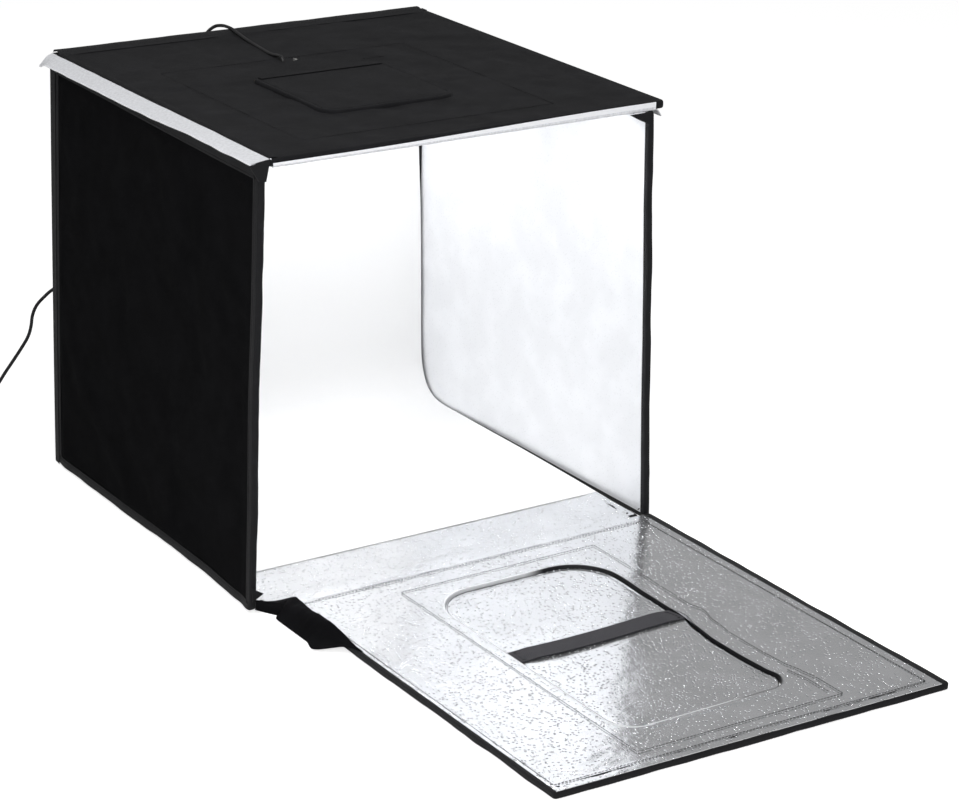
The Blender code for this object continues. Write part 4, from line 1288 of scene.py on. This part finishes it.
def build_facing(panel):
    """The tape round a window, turned over both faces of the panel."""
    low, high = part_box(panel.name + "_window_facing")
    low.z -= FACING_BELOW
    high.z += FACING_ABOVE
    front, back = WINDOW_RADII[panel.name]
    thing = add_rounded_plate(low, high, front, back, (high - low).z)
    middle = (low + high) / 2
    size = high - low
    grow = (1 + 2 * FACING_FLANGE / size.x, 1 + 2 * FACING_FLANGE / size.y, 1)
    with editing(thing):
        select(thing, "FACE", lambda spot, normal: abs(normal.z) > 0.9)
        bpy.ops.mesh.delete(type="FACE")
        select(thing, "EDGE", lambda one, two: abs(one.z - two.z) < 0.0001)
        bpy.ops.mesh.extrude_edges_move()
        bpy.ops.transform.resize(value=grow, center_override=middle)
    with editing(thing):
        select(thing, "EDGE", lambda one, two: (one - two).length > 0.05)
        bpy.ops.mesh.subdivide(number_cuts=30)
    thicken(thing, FACING_CLOTH)
    node = panel.name + "_window_facing"
    if panel.name == "lid":
        complete(thing, node + "_tape", panel.body, "lid_cloth", [node])
    else:
        complete(
            thing, node + "_film", panel.body, "silver_lining", [node], finish="window_edge"
        )


def build_flap_cloth(node, name, body, slot, radii, crown, groove, seed, grow=None):
    """A flap's cloth, drawn over its board: rolled edge, sewn groove and a soft crown."""
    low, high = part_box(node)
    if grow:
        low, high = low - Vector(grow[0]), high + Vector(grow[1])
    thing = add_ringed_sheet(low, high, *radii)
    drop = (high - low).z

    def shape(spot):
        inset = spot.z
        edge = drop * (1 - min(inset / 0.0010, 1)) ** 2
        sewn = 0.00055 * math.exp(-(((inset - groove) / 0.0011) ** 2))
        loose = ease((inset - groove) / 0.012)
        swell = crown * loose * (0.35 + ripple((spot.x, spot.y, 0), 0.055, seed))
        puckers = 0.0003 * ripple((spot.x, spot.y, 0), 0.010, seed) * (1 - loose)
        spot.z = high.z - edge - sewn + swell + puckers * ease(inset / 0.003)
        return spot

    move_points(thing, shape)
    thicken(thing, 0.0005, -1)
    complete(thing, name, body, slot, [node], smooth=60)


def build_lid_flap():
    """The flap over the lid's window: cloth above, film below, and thread on three sides."""
    radii, seam = (0.024, 0.003), 0.006
    build_flap_cloth(
        "lid_flap_cover", "lid_flap_cloth", "lid_flap", "lid_cloth", radii,
        crown=0.0009, groove=seam, seed=61,
    )
    low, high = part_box("lid_flap_cover")
    height = high.z - 0.0004
    left, right, front, rear = low.x + seam, high.x - seam, low.y + seam, high.y - 0.004
    corner = 0.016
    rows = [
        add_stitches((low.x + corner, front, height), (high.x - corner, front, height)),
        add_stitches((left, low.y + corner, height), (left, rear, height)),
        add_stitches((right, low.y + corner, height), (right, rear, height)),
    ]
    complete(joined(rows), "lid_flap_thread", "lid_flap", "black_binding")
    build_flap_cloth(
        "lid_flap_lining", "lid_flap_film", "lid_flap", "silver_lining", radii,
        crown=0.0002, groove=seam, seed=62,
    )


# How far the door flap's film stands past its board: at -X, -Y and at +X, +Y
DOOR_FLAP_OVERHANG = ((0.0026, 0.0010, 0.0), (0.0012, 0.0024, 0.0))

# The tray of cloth under the door's flap: its thickness, its height over its box and its rim
TRAY_CLOTH = 0.0004
TRAY_LIFT = 0.0002
TRAY_RIM = 0.0018


def build_door_flap():
    """The flap in the door's window: film above and a shallow tray of cloth below."""
    radii = (0.027, 0.052)
    build_board("door")
    build_board("door_flap")
    build_flap_cloth(
        "door_flap_lining", "door_flap_film", "door_flap", "silver_lining", radii,
        crown=0.0003, groove=0.004, seed=63, grow=DOOR_FLAP_OVERHANG,
    )
    low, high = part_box("door_flap_cover")
    thing = add_ringed_sheet(low, high, *radii)

    def tray(spot):
        rise = (high - low).z * (1 - min(spot.z / TRAY_RIM, 1)) ** 2
        spot.z = low.z + TRAY_LIFT + rise
        return spot

    move_points(thing, tray)
    thicken(thing, TRAY_CLOTH, 1)
    complete(thing, "door_flap_cloth", "door_flap", "black_cloth", ["door_flap_cover"], smooth=60)


# The strap on the door's flap: its width, thickness, middle and bow, and how far it stands past
# its box at the left and in all
STRAP_WIDTH = 0.0255
STRAP_THICKNESS = 0.0012
STRAP_MIDDLE = -0.4865
STRAP_BOW = 0.0075
STRAP_PAST_LEFT = 0.0020
STRAP_PAST_BOTH = 0.0045


def build_strap():
    """The webbing strap across the door's flap, sewn at both ends and a little slack between."""
    low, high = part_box("door_flap_strap")
    length = high.x - low.x
    thing = add_sheet(STRAP_WIDTH, length, 0.0032)

    def place(spot):
        share = spot.y / length + 0.5
        bow = STRAP_BOW * math.sin(math.pi * share) * (1 - share)
        lift = 0.0021 * ease(share / 0.12) * ease((1 - share) / 0.12)
        lift *= 0.8 + 0.35 * ripple((share * 0.3, 0, 0), 0.08, 70)
        x = low.x - STRAP_PAST_LEFT + share * (length + STRAP_PAST_BOTH)
        return Vector((x, STRAP_MIDDLE - bow + spot.x, low.z + 0.0007 + lift))

    move_points(thing, place)
    thicken(thing, STRAP_THICKNESS)
    complete(thing, "door_flap_webbing", "door_flap", "strap_webbing", ["door_flap_strap"])
    boxes = []
    box_length, box_half_width = 0.018, 0.0095
    middle = STRAP_MIDDLE - 0.0004
    bottom, top = middle - box_half_width, middle + box_half_width
    height = low.z + 0.0016
    for left in (low.x + 0.003, high.x - 0.021):
        right = left + box_length
        boxes += stitched_rectangle((left, bottom), (right, top), height)
        boxes.append(add_stitches((left, bottom, height), (right, top, height)))
        boxes.append(add_stitches((left, top, height), (right, bottom, height)))
    complete(joined(boxes), "door_flap_strap_thread", "door_flap", "black_binding")


# The thickness of the lid's side tapes
SIDE_TAPE = 0.0012

# How the lid's side tapes hang: the slope in degrees, and what each side adds to it
TAPE_SLOPE = 17
TAPE_SLOPE_WANDER = 4
LEFT_TAPE_FRONT_LIFT = 8
LEFT_TAPE_REAR_DROP = 24
RIGHT_TAPE_SLOPE_FACTOR = 1.4
RIGHT_TAPE_BEND = 18

# How far the left tape laps over the lid and rises, and the right one is tucked under in front
LEFT_TAPE_LAP = 0.0022
LEFT_TAPE_RISE = 0.0012
RIGHT_TAPE_TUCK = 0.0145

# The tapes' outer edges are shorter: in front at the left, in front at the right, and behind
LEFT_TAPE_CUT = 0.003
RIGHT_TAPE_CUT = 0.012
REAR_TAPE_CUT = 0.002

# Where across its width a tape bends a second time
TAPE_BEND = 0.4


def build_side_tape(side):
    """The closure tape that stands out from a side of the lid and hangs a little."""
    name = "lid_left_tape" if side < 0 else "lid_right_tape"
    low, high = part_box(name)
    width = high.x - low.x
    thing = add_sheet(width, high.y - low.y, 0.004)
    root = max(abs(low.x), abs(high.x)) - width
    left = side < 0
    lap, rise = (LEFT_TAPE_LAP, LEFT_TAPE_RISE) if left else (0.0, 0.0)

    def hang(spot):
        share = 0.5 - spot.x / width
        along = spot.y / (high.y - low.y) + 0.5
        front_cut = (LEFT_TAPE_CUT if left else RIGHT_TAPE_CUT) * share
        rear_cut = REAR_TAPE_CUT * share
        y = low.y + front_cut + (high.y - low.y - front_cut - rear_cut) * along
        front = ease((0.25 - y) / 0.5)
        tuck = 0.0 if left else RIGHT_TAPE_TUCK * front
        wander = TAPE_SLOPE_WANDER * ripple((0, spot.y, 0), 0.12, 3)
        first = math.radians(TAPE_SLOPE + wander)
        if left:
            first -= math.radians(LEFT_TAPE_FRONT_LIFT) * ease(front * 1.6 - 0.6)
            drop = math.radians(LEFT_TAPE_REAR_DROP)
            second = first + drop * ease((along - 0.955) / 0.045)
        else:
            first *= RIGHT_TAPE_SLOPE_FACTOR
            second = first + math.radians(RIGHT_TAPE_BEND)
        inner, outer = min(share, TAPE_BEND) * width, max(share - TAPE_BEND, 0) * width
        curl = 0.0010 * share * ripple((spot.x, spot.y, 0), 0.03, 5)
        x = root - lap - tuck + inner * math.cos(first) + outer * math.cos(second)
        fall = inner * math.sin(first) + outer * math.sin(second)
        return Vector((side * x, y, high.z - 0.0006 + rise - 0.4 * tuck - fall + curl))

    move_points(thing, hang)
    thicken(thing, SIDE_TAPE)
    complete(thing, name + "_pile", "lid", "hook_tape", [name])


# The thickness of the lid's front tape
FRONT_TAPE = 0.0009

# The front tape: the heights of its turn and its underside, how far it stands past its box at
# the left, and how far it climbs to the right
FRONT_TAPE_TURN = 0.4935
FRONT_TAPE_UNDERSIDE = 0.4908
FRONT_TAPE_PAST = 0.0095
FRONT_TAPE_CLIMB = 0.0046


def build_front_tape():
    """The closure tape folded over the lid's front edge."""
    low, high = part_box("lid_front_tape")
    turn, under = FRONT_TAPE_TURN, FRONT_TAPE_UNDERSIDE
    profile = [
        (low.y + 0.0006, high.z),
        (low.y + 0.0005, turn),
        (low.y + 0.0006, under + 0.0010),
        (low.y + 0.0016, under + 0.0001),
        (low.y + 0.0060, under),
        (high.y, under),
    ]
    thing = add_bent_strip(profile, low.x - FRONT_TAPE_PAST, high.x, along_x, 0.0032)

    def climb(spot):
        upper = ease((spot.z - turn) / (high.z - turn))
        spot.z += FRONT_TAPE_CLIMB * upper * ease((spot.x + 0.16) / 0.36)
        return spot

    move_points(thing, climb)
    thicken(thing, FRONT_TAPE)
    complete(thing, "lid_front_tape_pile", "lid", "hook_tape", ["lid_front_tape"])


# The cloth of the hinges and welts
HINGE_CLOTH = 0.0007

# Mesh cells of the cloth hinges, on the panels and on the flaps
FOLD_CELL = 0.0035
FLAP_FOLD_CELL = 0.0025

# Cloth hinges: (y, z) across the lid's fold, (x, y) across a wall's, and (y, z) between the
# edges of the door's strip and of the flaps' strips
LID_FOLD = [
    (0.2360, 0.5007),
    (0.2440, 0.5007),
    (0.2485, 0.5005),
    (0.2505, 0.4988),
    (0.2507, 0.4945),
    (0.2507, 0.4860),
]
WALL_FOLD = [
    (0.2507, 0.2360),
    (0.2507, 0.2440),
    (0.2507, 0.2485),
    (0.2490, 0.2506),
    (0.2450, 0.2507),
    (0.2360, 0.2507),
]
LID_FOLD_ENDS = (-0.2498, 0.2498)
WALL_FOLD_ENDS = (0.0012, 0.4853)
DOOR_FOLD = [(-0.2560, 0.0088), (-0.2500, 0.0087), (-0.2440, 0.0088)]
LID_FLAP_FOLD = [(0.0250, 0.5053), (0.0276, 0.5045), (0.0288, 0.5020), (0.0300, 0.5010)]
DOOR_FLAP_FOLD = [(-0.6780, 0.0054), (-0.6805, 0.0062), (-0.6822, 0.0074), (-0.6845, 0.0079)]


def build_fold_strips():
    """The cloth hinges over the sewn folds, each shaped across the two pieces it joins."""
    thing = add_bent_strip(LID_FOLD, *LID_FOLD_ENDS, along_x, FOLD_CELL)
    finish_fold(thing, "lid", "black_binding")
    for side, wall in zip((-1, 1), WALLS):
        profile = [(side * x, y) for x, y in WALL_FOLD]
        thing = add_bent_strip(profile, *WALL_FOLD_ENDS, along_z, FOLD_CELL)
        if side < 0:
            move_points(thing, flare)
        finish_fold(thing, wall, "black_binding")
    low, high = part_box("door_hinge_strip")
    profile = [(low.y, 0.0082), *DOOR_FOLD, (high.y, 0.0082)]
    thing = add_bent_strip(profile, low.x, high.x, along_x, FOLD_CELL, 0.0002, 12)
    finish_fold(thing, "door", "silver_lining")
    low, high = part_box("lid_flap_hinge_strip")
    profile = [(low.y, 0.5053), *LID_FLAP_FOLD, (high.y, 0.5007)]
    thing = add_bent_strip(profile, low.x, high.x, along_x, FLAP_FOLD_CELL)
    finish_fold(thing, "lid_flap", "lid_cloth")
    low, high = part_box("door_flap_hinge_strip")
    profile = [(high.y, 0.0053), *DOOR_FLAP_FOLD, (low.y, 0.0078)]
    thing = add_bent_strip(profile, low.x, high.x, along_x, FLAP_FOLD_CELL)
    finish_fold(thing, "door_flap", "silver_lining")


def finish_fold(thing, body, slot):
    """Completes a body's cloth hinge, which bends from its carrier to the body."""
    node = body + "_hinge_strip"
    thicken(thing, HINGE_CLOTH)
    complete(thing, node + "_cloth", None, slot, [node])
    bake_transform(thing)


# The lid's welts: how far each point lies from the lid's left or rear edge and over its top
LEFT_WELT = [
    (0.0095, 0.0006),
    (0.0080, 0.0013),
    (0.0045, 0.0016),
    (0.0015, 0.0012),
    (-0.0001, -0.0004),
]
REAR_WELT = [
    (-0.0200, 0.0007),
    (-0.0165, 0.0018),
    (-0.0110, 0.0038),
    (-0.0060, 0.0044),
    (-0.0025, 0.0036),
    (-0.0005, 0.0014),
]


def build_welts():
    """The soft welts along the lid's left and rear edges, where its cloth laps over."""
    low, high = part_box("lid_binding")
    left = [(low.x + inset, high.z + rise) for inset, rise in LEFT_WELT]
    thing = add_bent_strip(left, low.y + 0.001, high.y - 0.012, along_y, 0.0020, 0.0005, 91)
    thicken(thing, HINGE_CLOTH)
    complete(thing, "lid_left_welt", "lid", "lid_cloth", smooth=60)
    rear = [(high.y + inset, high.z + rise) for inset, rise in REAR_WELT]
    thing = add_bent_strip(rear, low.x + 0.001, high.x - 0.009, along_x, 0.0024, 0.0005, 92)
    thicken(thing, HINGE_CLOTH)
    complete(thing, "lid_rear_welt", "lid", "black_binding", smooth=60)


# The binding's loose ends: name, body and corners (x, z), and the plane they lie in
LOOSE_ENDS = [
    (
        "left_wall_corner_end",
        "left_wall",
        [
            (-0.2745, 0.4950),
            (-0.2670, 0.4992),
            (-0.2590, 0.5004),
            (-0.2510, 0.5012),
            (-0.2530, 0.4925),
            (-0.2560, 0.4780),
            (-0.2640, 0.4790),
        ],
    ),
    (
        "left_wall_lower_end",
        "left_wall",
        [(-0.2720, 0.0315), (-0.2575, 0.0228), (-0.2710, 0.0155)],
    ),
    (
        "right_wall_corner_end",
        "right_wall",
        [(0.2005, 0.4903), (0.2290, 0.4908), (0.2290, 0.4760), (0.2140, 0.4830)],
    ),
]
LOOSE_ENDS_PLANE = -0.2508


def build_corner_patches():
    """The binding's loose ends at the walls' front corners, each flat and facing forward."""
    for name, wall, corners in LOOSE_ENDS:
        bpy.ops.mesh.primitive_circle_add(vertices=len(corners), radius=1, fill_type="NGON")
        thing = bpy.context.active_object
        for spot, (x, z) in zip(thing.data.vertices, corners):
            spot.co = (x, LOOSE_ENDS_PLANE, z)
        thicken(thing, 0.0010)
        complete(thing, name, wall, "black_binding", smooth=0)


# Corners (x, y) of the rectangles of thread, and the ends of the short rows beside them
LID_SEAM = ((-0.1880, -0.2050), (0.1300, 0.1040))
LID_SHORT_ROW = ((0.0480, 0.0600), (0.0780, 0.0600))
DOOR_OUTER_SEAM = ((-0.2215, -0.7435), (0.2360, -0.2680))
DOOR_INNER_SEAM = ((-0.1125, -0.7255), (0.1440, -0.2960))
DOOR_SHORT_ROW = ((0.1340, -0.7160), (0.1340, -0.6560))


def build_seams():
    """Rows of thread over the lid and the door, round their windows."""
    seams = [
        ("lid", 0.0016, [LID_SEAM], LID_SHORT_ROW),
        ("door", 0.0006, [DOOR_OUTER_SEAM, DOOR_INNER_SEAM], DOOR_SHORT_ROW),
    ]
    for name, lift, rectangles, (start, end) in seams:
        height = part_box(name + "_binding")[1].z + lift
        rows = []
        for low, high in rectangles:
            rows += stitched_rectangle(low, high, height)
        rows.append(add_stitches((*start, height), (*end, height)))
        complete(joined(rows), name + "_seam_thread", name, "black_binding")


# The gusset's neck: its top and bottom corners at the wall and at the door
NECK_WALL = (Vector((-0.2680, -0.2512, 0.0180)), Vector((-0.2690, -0.2520, 0.0070)))
NECK_DOOR = (Vector((-0.2380, -0.2700, 0.0130)), Vector((-0.2450, -0.2740, 0.0012)))


def add_neck():
    """The narrow end of the gusset, which runs back to the left wall's corner."""
    thing = add_sheet(1, 1, 0.08)

    def place(spot):
        across, up = spot.x + 0.5, spot.y + 0.5
        top, bottom = (wall.lerp(door, across) for wall, door in zip(NECK_WALL, NECK_DOOR))
        spot = bottom.lerp(top, up)
        spot.y -= 0.0030 * math.sin(math.pi * up) + 0.0012 * ripple(spot, 0.007, 34)
        return spot

    move_points(thing, place)
    thicken(thing, 0.0010)
    return thing


# The gusset, whose flat size is a guess: how far its folds go up and sideways, and how far
# its hem is drawn to the left
GUSSET_FOLD = 0.0022
GUSSET_SWAY = 0.0020
GUSSET_HEM = 0.013


def build_gusset():
    """The gusset at the door's side, fallen into soft folds while the door lies open."""
    thing = copy_form("door_gusset")
    modify(thing, "SUBSURF", levels=2, render_levels=2)

    def crumple(spot):
        loose = ease((spot.z - 0.003) / 0.010) * ease((-0.254 - spot.y) / 0.012)
        fold = GUSSET_FOLD * ripple(spot, 0.020, 31) + 0.0008 * ripple(spot, 0.008, 32)
        spot.z += fold * loose
        spot.x += GUSSET_SWAY * ripple(spot, 0.024, 33) * loose
        seam = DOOR_BOX[0].x
        if spot.x > seam:
            spot.x = seam + 0.4 * (spot.x - seam)
        hem = 1 - ease(spot.z / 0.010)
        drawn = ease((-0.335 - spot.y) / 0.030) * ease((spot.y + 0.404) / 0.026)
        spot.x -= GUSSET_HEM * hem * drawn
        return spot

    move_points(thing, crumple)
    thing = joined([thing, add_neck()])
    keep_flat_places(thing)
    complete(thing, "door_gusset_cloth", None, "black_cloth", ["door_gusset"], smooth=80)
    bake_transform(thing)


# The backdrop: its thickness
BACKDROP_SHEET = 0.0009


def build_backdrop():
    """The white sheet, hung from the back and swept forward over the bottom."""
    low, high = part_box("backdrop_sheet")
    back, floor = high.y - 0.0006, low.z + 0.0005
    profile = [
        (back, high.z),
        (back - 0.0015, 0.430),
        (back - 0.0045, 0.370),
        (back - 0.0090, 0.310),
        (back - 0.0140, 0.250),
        (back - 0.0185, 0.180),
        (back - 0.0215, 0.120),
        (back - 0.0238, 0.075),
        (back - 0.0270, 0.050),
        (back - 0.0370, 0.0265),
        (back - 0.0530, 0.0135),
        (back - 0.0740, floor),
        (0.1200, floor),
        (0.0600, floor),
        (0.0000, floor),
        (-0.0800, floor),
        (low.y + 0.0300, floor - 0.0001),
        (low.y, floor - 0.0005),
    ]
    thing = add_bent_strip(profile, low.x, high.x, along_x, 0.009)

    def sway(spot):
        height = (spot.z - floor) / (high.z - floor)
        free = ease(height / 0.3) * ease((1 - height) / 0.25)
        spot.y += 0.0030 * free * ripple((spot.x, 0, spot.z), 0.16, 80)
        lift = ease((0.10 - spot.y) / 0.1) * ease((spot.y - low.y) / 0.12)
        lift *= 1 - ease(height / 0.1)
        spot.z += 0.0007 * lift * (1 + ripple((spot.x, spot.y, 0), 0.10, 81))
        return spot

    move_points(thing, sway)
    thicken(thing, BACKDROP_SHEET)
    complete(thing, "backdrop_white_sheet", "root", "backdrop_white", ["backdrop_sheet"])


def build_hidden_strips():
    """The hook strip behind the backdrop and the pads that hold the light bars."""
    for node, body in (
        ("backdrop_hook_strip", "root"),
        ("light_bar_front_pad", "lid"),
        ("light_bar_rear_pad", "lid"),
    ):
        low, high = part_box(node)
        thing = add_block(low, high)
        with editing(thing):
            bpy.ops.mesh.select_all(action="SELECT")
            bpy.ops.mesh.bevel(offset=0.0003, segments=2, affect="EDGES")
        keep_flat_places(thing)
        complete(thing, node + "_pile", body, "hook_tape", [node])


def build_link_lead():
    """The short lead between the two bars."""
    low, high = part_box("light_bar_link_lead")
    radius = (high.x - low.x) / 2
    x = (low.x + high.x) / 2
    top, bottom = high.z - radius, low.z + radius
    rise = [(0, bottom + 0.0003), (0.006, bottom + 0.0008), (0.016, top - 0.0016), (0.030, top)]
    route = [(x, low.y + along, height) for along, height in rise]
    route.append((x, -0.030, top))
    route += [(x, high.y - along, height) for along, height in reversed(rise)]
    thing = add_tube(smooth_route(route, 6), radius)
    complete(thing, "light_bar_link_cord", "lid", "lead_rubber", ["light_bar_link_lead"])


def coil_route():
    """The spare lead, wound down in one layer and back out in a second one on top."""
    turns = 2 * COIL_TURNS_A_LAYER
    count = round(turns * COIL_POINTS_A_TURN)
    points = []
    for step in range(count + 1):
        done = turns * step / count
        angle = -math.pi / 2 - 2 * math.pi * done
        inward = min(done, turns - done)
        radius = COIL_RADIUS - COIL_PITCH * inward
        climb = ease((done - COIL_TURNS_A_LAYER) / COIL_CLIMB_TURNS + 0.5)
        x = COIL_CENTRE[0] + radius * math.cos(angle)
        y = COIL_CENTRE[1] + radius * math.sin(angle)
        points.append(Vector((x, y, LEAD_ROUTE[-1][2] + COIL_PITCH * climb)))
    end = points[-1]
    for share in (0.25, 0.5, 0.75, 1.0):
        points.append(end + Vector((COIL_TAIL * share, 0, 0)))
    return points


def build_lead():
    """The power lead from the bars, over the lid, down behind the cube and into its coil."""
    route = smooth_route(LEAD_ROUTE, 6) + coil_route()
    thing = add_tube(route, LEAD_RADIUS)
    nodes = ["power_lead_on_lid", "power_lead_drop", "power_lead_coil"]
    complete(thing, "power_lead", None, "lead_rubber", nodes)
    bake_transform(thing)
    tie = build_tie()
    route_length(route)


def build_tie():
    """A twisted tie round one side of the coil."""
    x = COIL_CENTRE[0] - COIL_RADIUS + COIL_PITCH * 1.4
    y = COIL_CENTRE[1] + 0.004
    half_width, half_height, middle = 0.0108, 0.0052, 0.0053
    points = []
    for step in range(25):
        angle = 2 * math.pi * step / 24
        place = (x + half_width * math.cos(angle), y, middle + half_height * math.sin(angle))
        points.append(Vector(place))
    thing = add_tube(points, 0.0006, 8)
    return complete(thing, "coil_tie", "root", "lead_rubber")


# The CAD's own forms that stay as they are, by their slots
RIGID_PARTS = {
    "bar_aluminium": ("light_bar_front_channel", "light_bar_rear_channel"),
    "light_strip": ("light_bar_front_strip", "light_bar_rear_strip"),
    "nickel_eyelet": ("lid_lead_eyelet", "lid_spare_eyelet"),
    "adapter_plastic": ("adapter_body",),
    "pin_brass": ("adapter_pin_near", "adapter_pin_far"),
    "fibre_board": ("bottom_board", "back_board", "lid_board", "lid_flap_board"),
}


def dress_rigid_parts():
    """Gives the CAD's own rigid forms their finishes."""
    for slot, nodes in RIGID_PARTS.items():
        for node in nodes:
            materials = frame["nodes"][node].data.materials
            materials.clear()
            materials.append(FINISHES[slot])


# The stage


def aim(thing, place, target):
    """Puts a lamp in a place and turns it to a target."""
    thing.location = place
    turn = (Vector(target) - Vector(place)).to_track_quat("-Z", "Y")
    thing.rotation_mode = "QUATERNION"
    thing.rotation_quaternion = turn


def set_camera():
    """The camera at the photograph's viewing angle."""
    bpy.ops.object.camera_add(location=CAMERA_PLACE)
    camera = bpy.context.active_object
    yaw, pitch = math.radians(CAMERA_YAW), math.radians(CAMERA_PITCH)
    flat = math.cos(pitch)
    forward = Vector((math.sin(yaw) * flat, math.cos(yaw) * flat, math.sin(pitch)))
    roll = Quaternion((0, 0, 1), math.radians(CAMERA_ROLL))
    camera.rotation_mode = "QUATERNION"
    camera.rotation_quaternion = forward.to_track_quat("-Z", "Y") @ roll
    camera.data.lens = CAMERA_LENS
    camera.data.sensor_fit = "HORIZONTAL"
    camera.data.clip_end = 50
    bpy.context.scene.camera = camera


def set_lamps():
    """The studio's soft lamps, and one under each light bar."""
    for name, size, place, target, power in LAMPS:
        bpy.ops.object.light_add(type="AREA", location=place)
        lamp = bpy.context.active_object
        lamp.name = name
        lamp.data.size = size
        lamp.data.energy = power
        aim(lamp, place, target)
        lamp.visible_camera = False
    for name in ("front", "rear"):
        low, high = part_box("light_bar_" + name + "_channel")
        middle = (low + high) / 2
        bpy.ops.object.light_add(type="AREA", location=(middle.x, middle.y, low.z - 0.001))
        lamp = bpy.context.active_object
        lamp.name = "bar_lamp_" + name
        lamp.data.shape = "RECTANGLE"
        lamp.data.size, lamp.data.size_y = BAR_LAMP_SIZE
        lamp.data.energy = BAR_LAMP_POWER
        lamp.visible_camera = False


def set_world():
    """White where the camera looks past the tent, a grey studio in its film and metal."""
    world = bpy.data.worlds.new("surroundings")
    bpy.context.scene.world = world
    world.use_nodes = True
    graph = Graph(world.node_tree)
    seen = graph.node("ShaderNodeLightPath")
    mirrored = graph.node("ShaderNodeLightPath", out=GLOSSY_RAY)
    tone = graph.mix(mirrored, [AMBIENT] * 3, [MIRRORED_STUDIO] * 3)
    tone = graph.mix(seen, tone, (1.0, 1.0, 1.0))
    background = world.node_tree.nodes["Background"]
    graph.feed(background.inputs["Color"], tone)


def set_floor():
    """A pale floor that looks nearly white to the camera."""
    thing = sized(bpy.ops.mesh.primitive_plane_add, (14, 14, 1), (0, 0, -BELOW))
    thing.name = "floor"
    grey = (FLOOR_GREY, FLOOR_GREY, FLOOR_GREY)
    made = Finish("floor_white", grey, 0.9, specular_ior_level=0.0)
    seen = made.node("ShaderNodeLightPath")
    mirrored = made.node("ShaderNodeLightPath", out=GLOSSY_RAY)
    tone = made.mix(mirrored, (0.0, 0.0, 0.0), [FLOOR_MIRRORED] * 3)
    made.set("Emission Color", made.mix(seen, tone, [FLOOR_GLOW] * 3))
    made.set("Emission Strength", 1.0)
    thing.data.materials.append(made.material)


# Operators and panel


class TentStep:
    """What every step has in common: it builds its pieces or fails aloud."""

    bl_options = {"REGISTER", "UNDO"}

    def execute(self, context):
        self.build()
        return {"FINISHED"}


class TENT_OT_finishes(TentStep, bpy.types.Operator):
    """Make the cloth, film, metal and plastic finishes"""

    bl_idname = "tent.finishes"
    bl_label = "Finishes"

    def build(self):
        make_finishes()
        dress_rigid_parts()


class TENT_OT_lead(TentStep, bpy.types.Operator):
    """Build the power lead, its coil and the link between the bars"""

    bl_idname = "tent.lead"
    bl_label = "Leads"

    def build(self):
        build_lead()
        build_link_lead()


class TENT_OT_panels(TentStep, bpy.types.Operator):
    """Build the six panels: cloth, lining, binding and thread"""

    bl_idname = "tent.panels"
    bl_label = "Panels"

    def build(self):
        for name in PANEL_NORMALS:
            panel = Panel(name)
            build_cover(panel)
            build_lining(panel)
            build_binding(panel)
            build_panel_stitching(panel)
            if name in WALLS:
                build_board(name, panel.stand)
            if name in WINDOW_RADII:
                build_facing(panel)


class TENT_OT_flaps(TentStep, bpy.types.Operator):
    """Build the flaps over the two windows and the door flap's strap"""

    bl_idname = "tent.flaps"
    bl_label = "Flaps"

    def build(self):
        build_lid_flap()
        build_door_flap()
        build_strap()


class TENT_OT_tapes(TentStep, bpy.types.Operator):
    """Build the closure tapes on the lid"""

    bl_idname = "tent.tapes"
    bl_label = "Closure Tapes"

    def build(self):
        build_side_tape(-1)
        build_side_tape(1)
        build_front_tape()
        build_hidden_strips()


class TENT_OT_folds(TentStep, bpy.types.Operator):
    """Build the cloth hinges and the door's gusset"""

    bl_idname = "tent.folds"
    bl_label = "Folds and Gusset"

    def build(self):
        build_fold_strips()
        build_welts()
        build_corner_patches()
        build_seams()
        build_gusset()


class TENT_OT_backdrop(TentStep, bpy.types.Operator):
    """Build the white backdrop"""

    bl_idname = "tent.backdrop"
    bl_label = "Backdrop"

    def build(self):
        build_backdrop()


class TENT_OT_stage(TentStep, bpy.types.Operator):
    """Set the camera, the lamps, the floor and the surroundings"""

    bl_idname = "tent.stage"
    bl_label = "Stage"

    def build(self):
        set_camera()
        set_lamps()
        set_world()
        set_floor()
        bpy.context.scene.view_settings.view_transform = "Standard"


STEPS = [
    TENT_OT_finishes,
    TENT_OT_lead,
    TENT_OT_panels,
    TENT_OT_flaps,
    TENT_OT_tapes,
    TENT_OT_folds,
    TENT_OT_backdrop,
    TENT_OT_stage,
]


class VIEW3D_PT_light_tent(bpy.types.Panel):
    """The tent's sizes, colours and steps"""

    bl_label = "Light Tent Cube"
    bl_space_type = "VIEW_3D"
    bl_region_type = "UI"
    bl_category = "Light Tent"

    def draw(self, context):
        for group in (context.scene.light_tent_sizes, context.scene.light_tent_colours):
            box = self.layout.box()
            for name in group.__annotations__:
                box.prop(group, name)
        for step in STEPS:
            self.layout.operator(step.bl_idname)


CLASSES = [LightTentSizes, LightTentColours, *STEPS, VIEW3D_PT_light_tent]


def register():
    for kind in CLASSES:
        bpy.utils.register_class(kind)
    bpy.types.Scene.light_tent_sizes = bpy.props.PointerProperty(type=LightTentSizes)
    bpy.types.Scene.light_tent_colours = bpy.props.PointerProperty(type=LightTentColours)


def unregister():
    del bpy.types.Scene.light_tent_colours
    del bpy.types.Scene.light_tent_sizes
    for kind in reversed(CLASSES):
        bpy.utils.unregister_class(kind)


def main():
    register()
    bpy.ops.tent.finishes()
    bpy.ops.tent.lead()
    bpy.ops.tent.panels()
    bpy.ops.tent.flaps()
    bpy.ops.tent.tapes()
    bpy.ops.tent.folds()
    bpy.ops.tent.backdrop()
    bpy.ops.tent.stage()


if __name__ == "__main__":
    main()
